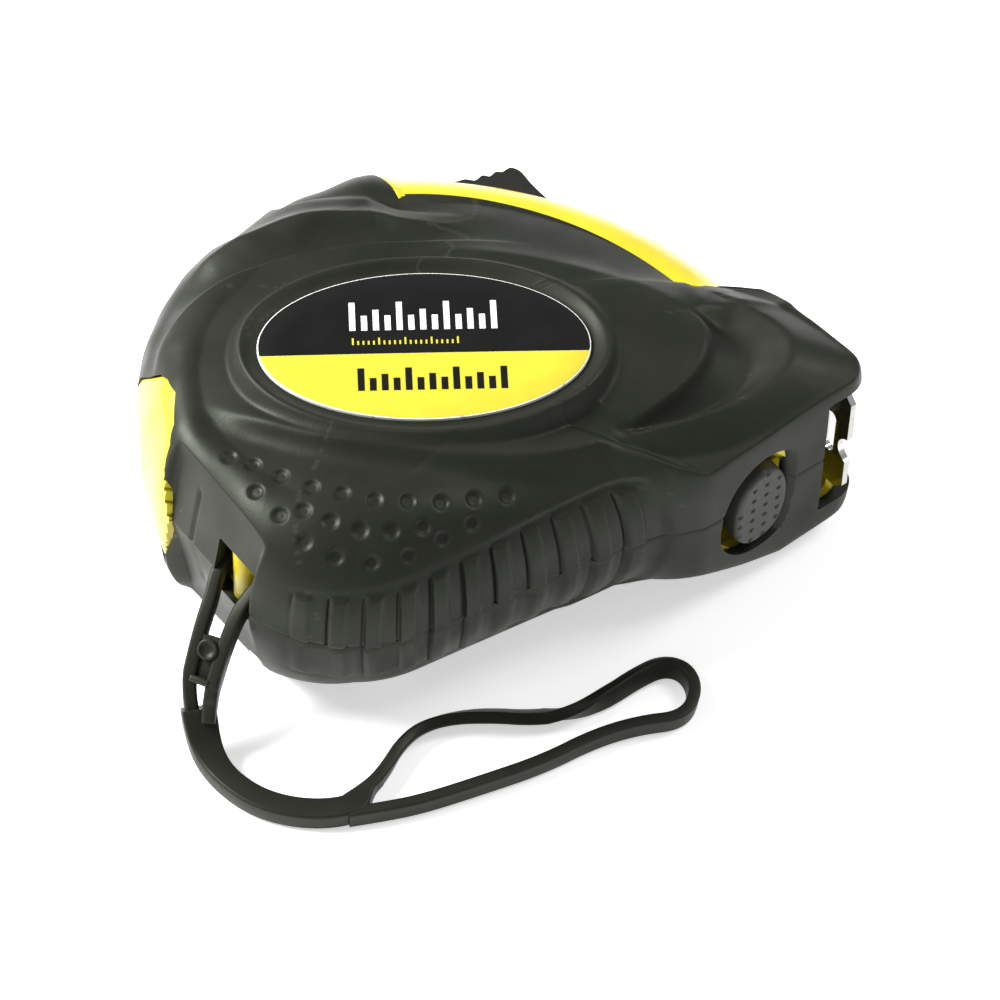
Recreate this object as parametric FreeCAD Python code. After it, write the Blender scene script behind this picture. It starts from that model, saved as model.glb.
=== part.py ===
import FreeCAD, Part
import math
import os

from FreeCAD import Vector

# Pocket tape measure, 5 m long with a 19 mm blade, lying on its side. Millimetres.
# Origin: on the resting face, on the drum axis. +X is the way the blade pulls out, +Y is the top edge
# with the thumb lock, +Z is the label side. The case is two shells that meet at the seam plane, so a
# "height" below is the distance from the seam, and the lower half mirrors the upper one.

os.makedirs("parts", exist_ok=True)

# ---- driving dimensions ----
THICKNESS = 33.6          # whole case, rubber to rubber
SEAM_Z = THICKNESS / 2
RUBBER = 2.2              # moulded rubber cover
SHELL = 1.8               # ABS wall under it
PLAN_CENTRE = (0.0, 2.0)  # the outline shrinks towards this point
CROWN = [(0.0, 0.0), (8.0, 0.5), (14.8, 4.6), (16.8, 8.6)]  # (height, inset) of the cover's outside

BLADE_WIDTH = 19.0
BLADE_THICK = 0.3
BLADE_BOW = 26.0          # radius of the blade's hollow section
BLADE_Y = -28.6           # underside of the blade at its middle, at the mouth
BLADE_BACK_X = 8.0        # where the straight stretch of blade leaves the coil
BLADE_TIP_X = 37.6

HUB_R = 14.5
HUB_WALL = 1.0
COIL_R = 22.6             # 5 m of blade wound on the hub
FLANGE_R = 23.2
FLANGE_THICK = 0.8
FLANGE_GAP = 0.15         # between the coil's edge and a flange
CHAMBER_R = 23.8
CHAMBER_WALL = 1.4
POST_R = 3.0
BEARING_R = 5.0           # boss that a spool flange turns on
RUNNING = 0.06            # radial clearance of a turning fit

NOSE_BOTTOM_Y = -36.3
NOSE_DROP = 3.0           # the nose is this much lower than the crown
NOSE_X = 29.0             # where the lower nose begins
HOOK_X = 38.4             # inner face of the hook plate, blade wound in
HOOK_THICK = 0.8
HOOK_WIDTH = 17.8
HOOK_PLAY = 1.0           # the hook slides by its own thickness and a little
RECESS_X = 34.8           # back of the notch that the hook sits in
HOOK_CORNER = 1.4         # bevel on the plate's corners
HOOK_TOP = 0.9            # the plate's top edge above the blade's underside
NAIL_R = 0.9              # slot that a nail head catches in
NAIL_Y = -33.1
NAIL_HALF = 2.6
TANG_X = 29.6             # rear end of the hook's tang under the blade
TANG_THICK = 0.7
TANG_HALF = 6.4
RIVET_X = 33.2
RIVET_SPREAD = 8.0        # degrees about the bow axis
RIVET_R = 1.1
RIVET_HEAD_R = 1.9
RIVET_HEAD = 0.35

CHANNEL_Y = (-30.6, -26.3)   # height of the channel that the blade slides in
CHANNEL_GAP = 0.4            # beside the blade's edges
CHANNEL_BACK_X = 4.0
BRAKE_X = (16.2, 32.95)      # bay of the brake button's flange and spring, between rib and mouth guide
BRAKE_Y = (-32.4, -30.0)
GUIDE_Y = (-33.0, -30.65)    # rib and mouth guide that the blade runs over
RIB_THICK = 1.4
FLANGE_Y = (-32.2, -31.4)    # the brake button's inner flange
LEAF_GAP = 0.5               # round the button in the shell
LEAF_WINDOW = 1.5            # round the button in the rubber

ARC_CENTRE = (-11.7, -15.1)  # centre of the case's front edge, on which the thumb lock slides
ARC_R = 54.7
LOCK_STEM = (38.0, 44.6)     # degrees on that arc
LOCK_SLOT = (31.0, 45.6)
LOCK_HALF = 5.6              # half the slider's width
STEM_HALF = 3.1
ARM_R = (45.2, 47.2)         # curved arm between the slider and the blade
ARM_FOOT = -5.0              # degree that the arm ends at
PAD_FOOT = -6.6

POST_AT = (-30.6, -8.8)   # strap post
POST_STRAP_R = 1.5
BAND_THICK = 1.5          # strap: moulded rubber band
BAND_HIGH = 2.5
BAND_Z = 1.4              # middle of the band where it lies on the floor
NECK_WIDE = 2.9           # where the two strands are one
NECK_Z = 1.5
POCKET_R = 5.4            # hollow round the strap post
POCKET_HALF = 6.8
POCKET_WALL = 1.5
POCKET_Y = (-14.6, -3.4)
POCKET_AT = (POST_AT[0] + 0.2, POST_AT[1])

STRIP_HALF = 6.4          # half the height of the yellow strip on the front edge and of the rear inlay
STRIP_R = (40.0, 70.0)
STRIP_SWEEP = (6.0, 56.0)    # degrees on the front edge
INLAY_Y = (2.6, 23.4)
INLAY_X = -10.0
INLAY_R = 30.0
INLAY_CENTRE = (4.0, 0.0)

SCREWS = [(-19.5, 19.3), (14.6, 23.9), (-19.0, -20.6), (27.0, -13.6)]
SCREW_R = 1.2
SCREW_HEAD_R = 2.4
SCREW_HEAD = 1.6
SCREW_SEAT = RUBBER + 0.6
SCREW_REACH = 8.0         # into the upper shell's boss
BOSS_R = 2.9

LABEL_AT = (-1.2, -4.0)
LABEL_LONG = 19.75
LABEL_SHORT = 12.0
LABEL_TURN = -34.3
LABEL_TOP = 32.9
LABEL_THICK = 0.5

# Outline of the brake button as (x, z), and the dots moulded into it.
LEAF = [(20.9, 11.2), (22.4, 8.6), (24.6, 8.0), (28.6, 9.2), (30.0, 13.4),
        (29.8, 17.4), (27.9, 21.2), (24.4, 21.4), (21.9, 19.2), (20.8, 15.4)]
LEAF_CENTRE = (25.3, 14.9)
DOT_PITCH = 1.87
DOT_R = 0.3
DOT_COLUMNS = [(-2, -2, 5), (-1, -3, 7), (0, -3, 7), (1, -2, 5)]  # (column, lowest row, rows)

# Saw-toothed back of the thumb lock as (degrees on the front edge, rise above it).
LOCK_PROFILE = [(47.8, 0.4), (46.2, 1.6), (45.4, 1.5), (44.4, 2.8), (43.6, 2.6), (42.4, 3.7), (41.6, 3.5),
                (40.2, 4.1), (38.8, 3.6), (36.8, 1.9), (34.8, 0.4)]

Z = Vector(0, 0, 1)
SEAM = Vector(0, 0, SEAM_Z)
BEYOND = 60.0             # well outside the case
BLADE_HALF = BLADE_WIDTH / 2
BOW_AXIS = Vector(0, BLADE_Y + BLADE_BOW + BLADE_THICK, SEAM_Z)

# The outline at the seam, anticlockwise from the nose's underside: (kind, via, end).
OUTLINE_START = (16.8, NOSE_BOTTOM_Y)
OUTLINE = [
    ("line", None, (38.5, NOSE_BOTTOM_Y)),
    ("arc", (40.9, -35.3), (42.0, -33.0)),
    ("line", None, (41.2, -17.0)),
    ("line", None, (42.4, -10.0)),
    ("arc", (35.0, 13.3), (17.9, 30.9)),
    ("arc", (-5.5, 35.0), (-24.4, 22.2)),
    ("arc", (-31.2, 13.3), (-34.6, 4.5)),
    ("line", None, (-33.6, 1.5)),
    ("line", None, (-33.6, -11.5)),
    ("line", None, (-34.6, -15.5)),
    ("arc", (-29.6, -24.4), (-20.1, -29.2)),
    ("line", None, (12.2, -34.5)),
    ("line", None, OUTLINE_START),
]


# ---- small helpers ----
def export(name, shape):
    shape.exportStep("parts/" + name + ".step")
    print(name, "solids", len(shape.Solids), "volume", round(shape.Volume, 1), "valid", shape.isValid())


def mirrored(shape):
    return shape.mirror(SEAM, Z)


def cylinder(radius, z_low, z_high, at=(0.0, 0.0)):
    return Part.makeCylinder(radius, z_high - z_low, Vector(at[0], at[1], z_low))


def tube(outer, inner, z_low, z_high, at=(0.0, 0.0)):
    return cylinder(outer, z_low, z_high, at).cut(cylinder(inner, z_low, z_high, at))


def box(low, high):
    return Part.makeBox(high[0] - low[0], high[1] - low[1], high[2] - low[2], Vector(*low))


def inset_point(point, inset):
    across = PLAN_CENTRE[0] - point[0]
    along = PLAN_CENTRE[1] - point[1]
    reach = math.hypot(across, along)
    return (point[0] + across * inset / reach, point[1] + along * inset / reach)


def outline_wire(inset, z):
    edges = []
    here = inset_point(OUTLINE_START, inset)
    for kind, via, end in OUTLINE:
        there = inset_point(end, inset)
        if kind == "arc":
            middle = inset_point(via, inset)
            edges.append(Part.Arc(Vector(*here, z), Vector(*middle, z), Vector(*there, z)).toShape())
        else:
            edges.append(Part.LineSegment(Vector(*here, z), Vector(*there, z)).toShape())
        here = there
    return Part.Wire(edges)


def half_body(levels):
    """Upper half of a crowned body from (height, inset) levels."""
    wires = [outline_wire(inset, SEAM_Z + height) for height, inset in levels]
    return Part.makeLoft(wires, True, True)


def sector(r_in, r_out, from_deg, to_deg, z_low, z_high, centre=ARC_CENTRE):
    """Block between two radii and two angles about an axis along Z."""
    at = Vector(centre[0], centre[1], z_low)
    sweep = to_deg - from_deg
    outer = Part.makeCylinder(r_out, z_high - z_low, at, Z, sweep)
    inner = Part.makeCylinder(r_in, z_high - z_low, at, Z, sweep)
    block = outer.cut(inner)
    block.rotate(at, Z, from_deg)
    return block


def polygon_prism(points, y_low, y_high):
    """Prism along Y of a closed outline given as (x, z) points."""
    corners = [Vector(x, y_low, z) for x, z in points]
    face = Part.Face(Part.makePolygon(corners + corners[:1]))
    return face.extrude(Vector(0, y_high - y_low, 0))


# ---- case envelope ----
def levels_inside(skin):
    """The crown's levels moved in by a wall thickness."""
    return [(CROWN[0][0], skin),
            (CROWN[1][0] - 0.3 * skin, CROWN[1][1] + skin),
            (CROWN[2][0] - 0.8 * skin, CROWN[2][1] + 0.9 * skin),
            (CROWN[3][0] - skin, CROWN[3][1] + 0.9 * skin)]


def nose_cap(skin):
    """What is cut off the crown over the nose."""
    low = THICKNESS - NOSE_DROP - skin
    return box((NOSE_X, -BEYOND, low), (BEYOND, BEYOND, THICKNESS + 1))


def leaf(grow):
    """The brake button's outline, moved out by grow."""
    points = []
    for x, z in LEAF:
        across = x - LEAF_CENTRE[0]
        along = z - LEAF_CENTRE[1]
        scale = 1 + grow / math.hypot(across, along)
        points.append((LEAF_CENTRE[0] + across * scale, LEAF_CENTRE[1] + along * scale))
    return points


def strap_pocket():
    """Hollow in the rear corner round the strap post."""
    low = SEAM_Z - POCKET_HALF
    high = SEAM_Z + POCKET_HALF
    bowl = cylinder(POCKET_R, low, high, POCKET_AT)
    mouth = box((-BEYOND, POCKET_Y[0], low), (POST_AT[0], POCKET_Y[1], high))
    return bowl.fuse(mouth)


def mouth_space():
    """Everything that the blade and its hook pass through at the nose."""
    half = BLADE_HALF + CHANNEL_GAP
    channel = box((CHANNEL_BACK_X, CHANNEL_Y[0], SEAM_Z - half), (BEYOND, CHANNEL_Y[1], SEAM_Z + half))
    notch = box((RECESS_X, -BEYOND, SEAM_Z - half), (BEYOND, CHANNEL_Y[1], SEAM_Z + half))
    return channel.fuse(notch)


def brake_space():
    """Room for the brake button's flange and spring under the blade."""
    half = BLADE_HALF + CHANNEL_GAP
    return box((BRAKE_X[0], BRAKE_Y[0], SEAM_Z - half), (BRAKE_X[1], BRAKE_Y[1], SEAM_Z + half))


def mouth_guide():
    """Block that the blade runs over, behind the hook."""
    half = BLADE_HALF - 0.6
    return box((BRAKE_X[1], GUIDE_Y[0], SEAM_Z - half), (RECESS_X, GUIDE_Y[1], SEAM_Z + half))


def brake_rib():
    """Upper half of the rib behind the brake button, which holds the other end of its spring."""
    half = BLADE_HALF - 0.6
    return box((BRAKE_X[0] - RIB_THICK, GUIDE_Y[0], SEAM_Z), (BRAKE_X[0], GUIDE_Y[1], SEAM_Z + half))


def lock_slot():
    half = STEM_HALF + 0.3
    return sector(ARM_R[0] - 1.2, ARC_R + 5, LOCK_SLOT[0], LOCK_SLOT[1], SEAM_Z - half, SEAM_Z + half)


def strip_windows():
    """Bands along the seam where the shell shows between the rubber covers: front edge and rear."""
    top = SEAM_Z + STRIP_HALF
    front = sector(STRIP_R[0], STRIP_R[1], STRIP_SWEEP[0], STRIP_SWEEP[1], SEAM_Z, top)
    rear = box((-BEYOND, INLAY_Y[0], SEAM_Z), (INLAY_X, INLAY_Y[1], top))
    return front.fuse(rear.cut(cylinder(INLAY_R, SEAM_Z, top, INLAY_CENTRE)))


def upper_shell():
    envelope = half_body(levels_inside(RUBBER)).cut(nose_cap(RUBBER))
    cavity = half_body(levels_inside(RUBBER + SHELL)).cut(nose_cap(RUBBER + SHELL))
    outside = half_body(CROWN).cut(nose_cap(0.0))
    pads = outside.common(strip_windows()).cut(cavity)
    shell = envelope.cut(cavity).fuse(pads)
    ceiling = SEAM_Z + CROWN[3][0] - RUBBER - SHELL
    walls = tube(CHAMBER_R + CHAMBER_WALL, CHAMBER_R, SEAM_Z, ceiling)
    for at in SCREWS:
        walls = walls.fuse(cylinder(BOSS_R, SEAM_Z, ceiling, at))
    roof = SEAM_Z + POCKET_HALF
    pocket_out = POCKET_R + POCKET_WALL
    pocket_wall = tube(pocket_out, POCKET_R, SEAM_Z, roof + POCKET_WALL, POCKET_AT)
    pocket_roof = cylinder(pocket_out, roof, roof + POCKET_WALL, POCKET_AT)
    walls = walls.fuse(pocket_wall).fuse(pocket_roof).fuse(brake_rib()).common(envelope)
    walls = walls.cut(cylinder(CHAMBER_R, SEAM_Z, ceiling))
    boss = cylinder(BEARING_R, SEAM_Z + BLADE_HALF + 0.1, ceiling)
    strap_post = cylinder(POST_STRAP_R, SEAM_Z, roof + 0.4, POST_AT)
    shell = shell.fuse(walls).fuse(boss).cut(strap_pocket()).fuse(strap_post)
    shell = shell.cut(mouth_space()).cut(brake_space()).cut(lock_slot())
    shell = shell.cut(cylinder(POST_R, SEAM_Z, ceiling + 0.6))
    return shell.cut(mouth_guide()).removeSplitter(), envelope.fuse(pads).fuse(strap_post)


def upper_cover(envelope):
    outside = half_body(CROWN).cut(nose_cap(0.0))
    cover = outside.cut(envelope)
    return cover.cut(strap_pocket()).cut(mouth_space())


def label_plate(grow, z_low, z_high):
    ring = Part.Ellipse(Vector(0, 0, 0), LABEL_LONG + grow, LABEL_SHORT + grow)
    plate = Part.Face(Part.Wire(ring.toShape())).extrude(Vector(0, 0, z_high - z_low))
    plate.rotate(Vector(0, 0, 0), Z, LABEL_TURN)
    plate.translate(Vector(LABEL_AT[0], LABEL_AT[1], z_low))
    return plate


def build_case():
    shell, envelope = upper_shell()
    cover = upper_cover(envelope)
    button_hole = polygon_prism(leaf(LEAF_GAP), NOSE_BOTTOM_Y - 4, GUIDE_Y[1])
    window = polygon_prism(leaf(LEAF_WINDOW), NOSE_BOTTOM_Y - 4, GUIDE_Y[1])
    lower_shell = mirrored(shell).cut(button_hole)
    lower_cover = mirrored(cover).cut(window)
    shell = shell.cut(button_hole)
    cover = cover.cut(window)
    head_top = SCREW_SEAT + SCREW_HEAD
    tip = SEAM_Z + SCREW_REACH
    screws = []
    for at in SCREWS:
        head = cylinder(SCREW_HEAD_R, SCREW_SEAT, head_top, at)
        shank = cylinder(SCREW_R, head_top, tip, at)
        screws.append(head.fuse(shank))
        lower_cover = lower_cover.cut(cylinder(SCREW_HEAD_R + 0.3, -1.0, SEAM_Z, at))
        lower_shell = lower_shell.cut(cylinder(SCREW_HEAD_R + 0.1, -1.0, head_top, at))
        lower_shell = lower_shell.cut(cylinder(SCREW_R, 0.0, SEAM_Z, at))
        shell = shell.cut(cylinder(SCREW_R, SEAM_Z, tip, at))
    cover = cover.cut(label_plate(0.3, LABEL_TOP - LABEL_THICK, THICKNESS + 1))
    export("case_lower", lower_shell)
    export("case_upper", shell)
    export("grip_cover_lower", lower_cover)
    export("grip_cover_upper", cover)
    export("label_plate", label_plate(0.0, LABEL_TOP - LABEL_THICK, LABEL_TOP))
    export("case_screws", Part.makeCompound(screws))


# ---- drum ----
SPRING_THICK = 0.4
SPRING_PITCH = 1.3        # a loose, unwound spiral
SPRING_TURNS = 6
SPRING_FIRST = POST_R + 0.9
SPRING_HALF = BLADE_HALF - 1.2


def mainspring():
    """Flat spiral spring between the centre post and the hub, as half turns of growing radius."""
    edges = []
    centre = Vector(0, 0, 0)
    radius = SPRING_FIRST
    side = 1
    for half_turn in range(2 * SPRING_TURNS):
        start = centre + Vector(side * radius, 0, 0)
        middle = centre + Vector(0, side * radius, 0)
        end = centre - Vector(side * radius, 0, 0)
        edges.append(Part.Arc(start, middle, end).toShape())
        radius += SPRING_PITCH / 2
        side = -side
        centre = Vector(end.x - side * radius, 0, 0)
    strip = Part.Wire(edges).makeOffset2D(SPRING_THICK / 2, 0, False, False)
    spring = Part.Face(strip).extrude(Vector(0, 0, 2 * SPRING_HALF))
    spring.translate(Vector(0, 0, SEAM_Z - SPRING_HALF))
    return spring


def build_drum():
    low = SEAM_Z - BLADE_HALF - FLANGE_GAP
    high = SEAM_Z + BLADE_HALF + FLANGE_GAP
    export("spool_hub", tube(HUB_R, HUB_R - HUB_WALL, low, high))
    bore = BEARING_R + RUNNING
    export("spool_flange_lower", tube(FLANGE_R, bore, low - FLANGE_THICK, low))
    export("spool_flange_upper", tube(FLANGE_R, bore, high, high + FLANGE_THICK))
    export("blade_coil", tube(COIL_R, HUB_R, SEAM_Z - BLADE_HALF, SEAM_Z + BLADE_HALF))
    export("mainspring", mainspring())
    floor = THICKNESS - SEAM_Z - CROWN[3][0] + RUBBER + SHELL
    post = cylinder(POST_R, floor, THICKNESS - floor)
    slot = box((-SPRING_THICK, 0.0, SEAM_Z - SPRING_HALF), (SPRING_THICK, POST_R, SEAM_Z + SPRING_HALF))
    export("centre_post", post.cut(slot))


# ---- blade, hook and rivets ----
def bowed_strip(r_in, r_out, half_width, x_low, x_high):
    """Strip along X whose section is an arc about the blade's bow axis."""
    spread = math.degrees(math.asin(half_width / r_in))
    at = Vector(x_low, BOW_AXIS.y, BOW_AXIS.z)
    outer = Part.makeCylinder(r_out, x_high - x_low, at, Vector(1, 0, 0), 2 * spread)
    inner = Part.makeCylinder(r_in, x_high - x_low, at, Vector(1, 0, 0), 2 * spread)
    strip = outer.cut(inner)
    middle = strip.Solids[0].CenterOfMass
    lean = math.degrees(math.atan2(middle.z - at.z, middle.y - at.y))
    strip.rotate(at, Vector(1, 0, 0), 180.0 - lean)
    return strip


def along_bow(radius, r_from, r_to, x, lean):
    """Pin that points away from the bow axis."""
    foot = Vector(x, BOW_AXIS.y - r_from, BOW_AXIS.z)
    pin = Part.makeCylinder(radius, r_to - r_from, foot, Vector(0, -1, 0))
    pin.rotate(BOW_AXIS, Vector(1, 0, 0), lean)
    return pin


def hook_plate():
    """Plate of the end hook, with its nail slot and the notch in its lip."""
    top = BLADE_Y + HOOK_TOP
    low_z = SEAM_Z - HOOK_WIDTH / 2
    high_z = SEAM_Z + HOOK_WIDTH / 2
    lip = NOSE_BOTTOM_Y
    bevel = HOOK_CORNER
    corners = [(lip, low_z + bevel), (lip, high_z - bevel), (lip + bevel, high_z), (top - bevel, high_z),
               (top, high_z - bevel), (top, low_z + bevel), (top - bevel, low_z), (lip + bevel, low_z)]
    loop = [Vector(HOOK_X, y, z) for y, z in corners]
    plate = Part.Face(Part.makePolygon(loop + loop[:1])).extrude(Vector(HOOK_THICK, 0, 0))
    along_x = Vector(1, 0, 0)
    back = HOOK_X - 1
    nail_low = (back, NAIL_Y - NAIL_R, SEAM_Z - NAIL_HALF)
    nail_slot = box(nail_low, (HOOK_X + 2, NAIL_Y + NAIL_R, SEAM_Z + NAIL_HALF))
    for end in (-NAIL_HALF, NAIL_HALF):
        nail_slot = nail_slot.fuse(Part.makeCylinder(NAIL_R, 3, Vector(back, NAIL_Y, SEAM_Z + end), along_x))
    notch_at = Vector(back, NOSE_BOTTOM_Y - 0.7, SEAM_Z - 0.9)
    return plate.cut(nail_slot).cut(Part.makeCylinder(2 * RIVET_R, 3, notch_at, along_x))


def build_blade():
    blade = bowed_strip(BLADE_BOW, BLADE_BOW + BLADE_THICK, BLADE_HALF, BLADE_BACK_X, BLADE_TIP_X)
    tang_in = BLADE_BOW + BLADE_THICK + RUNNING
    tang_out = tang_in + TANG_THICK
    rivet_foot = tang_out + RUNNING
    hook = hook_plate().fuse(bowed_strip(tang_in, tang_out, TANG_HALF, TANG_X, HOOK_X + 0.1))
    rivets = []
    for lean in (-RIVET_SPREAD, RIVET_SPREAD):
        head = along_bow(RIVET_HEAD_R, BLADE_BOW - RIVET_HEAD, BLADE_BOW, RIVET_X, lean)
        shank = along_bow(RIVET_R, BLADE_BOW, rivet_foot, RIVET_X, lean)
        foot = along_bow(RIVET_HEAD_R, rivet_foot, rivet_foot + RIVET_HEAD, RIVET_X, lean)
        rivets.append(head.fuse(shank).fuse(foot))
        blade = blade.cut(shank)
        reach = RIVET_R + RUNNING
        slot = along_bow(reach, tang_in - 1, tang_out + 1, RIVET_X, lean)
        far = along_bow(reach, tang_in - 1, tang_out + 1, RIVET_X - HOOK_PLAY, lean)
        bridge = box((RIVET_X - HOOK_PLAY, BOW_AXIS.y - tang_out - 1, SEAM_Z - reach),
                     (RIVET_X, BOW_AXIS.y - tang_in + 1, SEAM_Z + reach))
        bridge.rotate(BOW_AXIS, Vector(1, 0, 0), lean)
        hook = hook.cut(slot.fuse(far).fuse(bridge))
    export("blade", blade)
    export("hook", hook.removeSplitter())
    export("hook_rivets", Part.makeCompound(rivets))


# ---- nose guide, brake and lock ----
def build_brake():
    button = polygon_prism(leaf(0.0), NOSE_BOTTOM_Y, FLANGE_Y[0])
    flange = box((19.2, FLANGE_Y[0], SEAM_Z - 9.4), (31.6, FLANGE_Y[1], SEAM_Z + 5.4))
    grip_dots = []
    for column, low, count in DOT_COLUMNS:
        for row in range(count):
            x = LEAF_CENTRE[0] + 0.7 + column * DOT_PITCH
            z = LEAF_CENTRE[1] + (low + row) * DOT_PITCH
            at = Vector(x, NOSE_BOTTOM_Y - DOT_R, z)
            grip_dots.append(Part.makeCylinder(DOT_R, 2 * DOT_R, at, Vector(0, 1, 0)))
    button = button.fuse(flange).cut(Part.makeCompound(grip_dots))
    export("brake_button", button)
    pad_top = FLANGE_Y[1] + 1.0
    export("brake_pad", box((22.0, FLANGE_Y[1], SEAM_Z - 5.0), (28.4, pad_top, SEAM_Z + 4.0)))
    spring_low = (BRAKE_X[0], FLANGE_Y[1], SEAM_Z - 9.6)
    export("brake_spring", box(spring_low, (BRAKE_X[1], FLANGE_Y[1] + BLADE_THICK, SEAM_Z - 7.6)))
    export("mouth_guide", mouth_guide())


def on_arc(angle, radius):
    turn = math.radians(angle)
    return (ARC_CENTRE[0] + radius * math.cos(turn), ARC_CENTRE[1] + radius * math.sin(turn))


def build_lock():
    outer = [on_arc(angle, ARC_R + rise) for angle, rise in LOCK_PROFILE]
    first = LOCK_PROFILE[-1][0]
    step = (LOCK_PROFILE[0][0] - first) / 4
    under = [on_arc(first + i * step, ARC_R + 0.15) for i in range(5)]
    loop = [Vector(x, y, SEAM_Z - LOCK_HALF) for x, y in outer + under]
    knob = Part.Face(Part.makePolygon(loop + loop[:1])).extrude(Vector(0, 0, 2 * LOCK_HALF))
    stem = sector(ARM_R[1], ARC_R + 0.8, LOCK_STEM[0], LOCK_STEM[1], SEAM_Z - STEM_HALF, SEAM_Z + STEM_HALF)
    arm_half = 4.5
    low = SEAM_Z - arm_half
    high = SEAM_Z + arm_half
    export("thumb_lock", knob.fuse(stem).removeSplitter())
    export("lock_arm", sector(ARM_R[0], ARM_R[1], ARM_FOOT, LOCK_STEM[1], low, high))
    export("lock_pad", sector(ARM_R[0] - 0.4, ARM_R[1] + 0.4, PAD_FOOT, ARM_FOOT, low, high))


# ---- strap ----
def rounded_path(points):
    """Straight runs joined by tangent arcs, with the arcs' radii and the path's length."""
    corners = [Vector(*p) for p in points]
    runs = [corners[i + 1] - corners[i] for i in range(len(corners) - 1)]
    edges = []
    radii = []
    here = corners[0]
    for i in range(1, len(corners) - 1):
        before = runs[i - 1]
        after = runs[i]
        turn = before.getAngle(after)
        trim = 0.45 * min(before.Length, after.Length)
        radius = trim / math.tan(turn / 2)
        radii.append(round(radius, 1))
        into = corners[i] - before.normalize() * trim
        out = corners[i] + after.normalize() * trim
        inwards = (into + out) * 0.5 - corners[i]
        reach = math.hypot(radius, trim) - radius
        middle = corners[i] + inwards.normalize() * reach
        edges.append(Part.LineSegment(here, into).toShape())
        edges.append(Part.Arc(into, middle, out).toShape())
        here = out
        runs[i] = corners[i + 1] - corners[i]
    edges.append(Part.LineSegment(here, corners[-1]).toShape())
    return Part.Wire(edges), radii


def sweep_along(name, points, profile, area):
    """Solid of a profile along a rounded route; prints the radii and compares volume with area x length."""
    path, radii = rounded_path(points)
    solid = path.makePipeShell([profile], True, True)
    ratio = solid.Volume / (area * path.Length)
    print(name, "radii", radii, "length", round(path.Length, 1), "volume ratio", round(ratio, 4))
    export(name, solid)


def cord_tube(name, points, diameter):
    along = Vector(*points[1]) - Vector(*points[0])
    ring = Part.Wire(Part.Circle(Vector(*points[0]), along, diameter / 2).toShape())
    sweep_along(name, points, ring, math.pi * diameter ** 2 / 4)


def flat_band(name, points):
    """Band standing on edge along a level route."""
    start = Vector(*points[0])
    along = (Vector(*points[1]) - start).normalize()
    half = Vector(-along.y, along.x, 0) * (BAND_THICK / 2)
    rise = Vector(0, 0, BAND_HIGH / 2)
    corners = [start + half + rise, start - half + rise, start - half - rise, start + half - rise]
    profile = Part.makePolygon(corners + corners[:1])
    sweep_along(name, points, profile, BAND_THICK * BAND_HIGH)


# The two strands round the post, then the neck down to the floor, then the wrist loop.
ANCHOR_ROUTE = [(-41.6, -13.0, 8.2), (-38.9, -10.9, 11.2), (-36.0, -9.0, 14.0), (-33.4, -6.9, 15.6),
                (-30.8, -5.7, 16.2), (-28.2, -6.6, 16.4), (-27.3, -9.2, 16.4), (-28.8, -11.5, 16.2),
                (-31.6, -11.9, 15.6), (-34.4, -12.4, 13.8), (-37.0, -13.7, 11.3), (-39.8, -15.0, 8.4)]
NECK_ROUTE = [(-40.7, -14.0, 8.3), (-42.2, -15.0, 5.6), (-43.3, -17.2, 3.0), (-44.1, -20.4, NECK_Z),
              (-44.2, -24.4, NECK_Z), (-43.0, -28.6, NECK_Z), (-40.5, -32.1, NECK_Z), (-37.3, -34.6, NECK_Z),
              (-33.9, -35.8, NECK_Z)]
LOOP_ROUTE = [(-34.6, -34.7, BAND_Z), (-31.3, -34.6, BAND_Z), (-28.0, -33.4, BAND_Z), (-24.9, -31.7, BAND_Z),
              (-21.4, -30.9, BAND_Z), (-17.4, -31.9, BAND_Z), (-13.4, -34.3, BAND_Z), (-9.4, -37.7, BAND_Z),
              (-4.9, -39.9, BAND_Z), (-0.4, -40.4, BAND_Z), (4.2, -40.2, BAND_Z), (7.9, -40.6, BAND_Z),
              (9.6, -43.0, BAND_Z), (8.5, -46.3, BAND_Z), (4.9, -48.4, BAND_Z), (0.2, -45.9, BAND_Z),
              (-5.4, -44.3, BAND_Z), (-12.6, -43.7, BAND_Z), (-20.4, -41.8, BAND_Z), (-27.6, -39.9, BAND_Z),
              (-32.2, -38.0, BAND_Z), (-35.6, -36.4, BAND_Z)]
STRAND = 1.9              # plain round stand-in for one strand of the band


def build_strap():
    cord_tube("strap_anchor", ANCHOR_ROUTE, STRAND)
    cord_tube("strap_neck", NECK_ROUTE, NECK_WIDE)
    flat_band("strap_loop", LOOP_ROUTE)


build_case()
build_drum()
build_blade()
build_brake()
build_lock()
build_strap()
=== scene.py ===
import math

import bpy
import numpy as np
from mathutils import Matrix, Vector


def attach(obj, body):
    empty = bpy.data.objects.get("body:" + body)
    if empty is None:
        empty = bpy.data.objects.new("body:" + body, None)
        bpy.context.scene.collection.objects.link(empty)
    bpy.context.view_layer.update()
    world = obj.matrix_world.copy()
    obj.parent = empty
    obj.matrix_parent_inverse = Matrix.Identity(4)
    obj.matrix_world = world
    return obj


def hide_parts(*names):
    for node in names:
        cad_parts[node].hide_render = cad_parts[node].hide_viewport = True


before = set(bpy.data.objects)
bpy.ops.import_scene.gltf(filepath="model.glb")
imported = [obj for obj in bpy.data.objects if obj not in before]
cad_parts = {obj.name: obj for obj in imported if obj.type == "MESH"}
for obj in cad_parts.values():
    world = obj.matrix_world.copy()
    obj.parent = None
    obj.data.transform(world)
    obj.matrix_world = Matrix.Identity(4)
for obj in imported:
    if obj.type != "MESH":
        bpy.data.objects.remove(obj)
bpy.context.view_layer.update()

# Pocket tape measure lying on its side. Lengths below are millimetres in the CAD's frame; mesh() turns them
# into metres. "h" is the height above the seam between the two halves of the case.
MM = 0.001
SEAM_Z = 16.8


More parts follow.
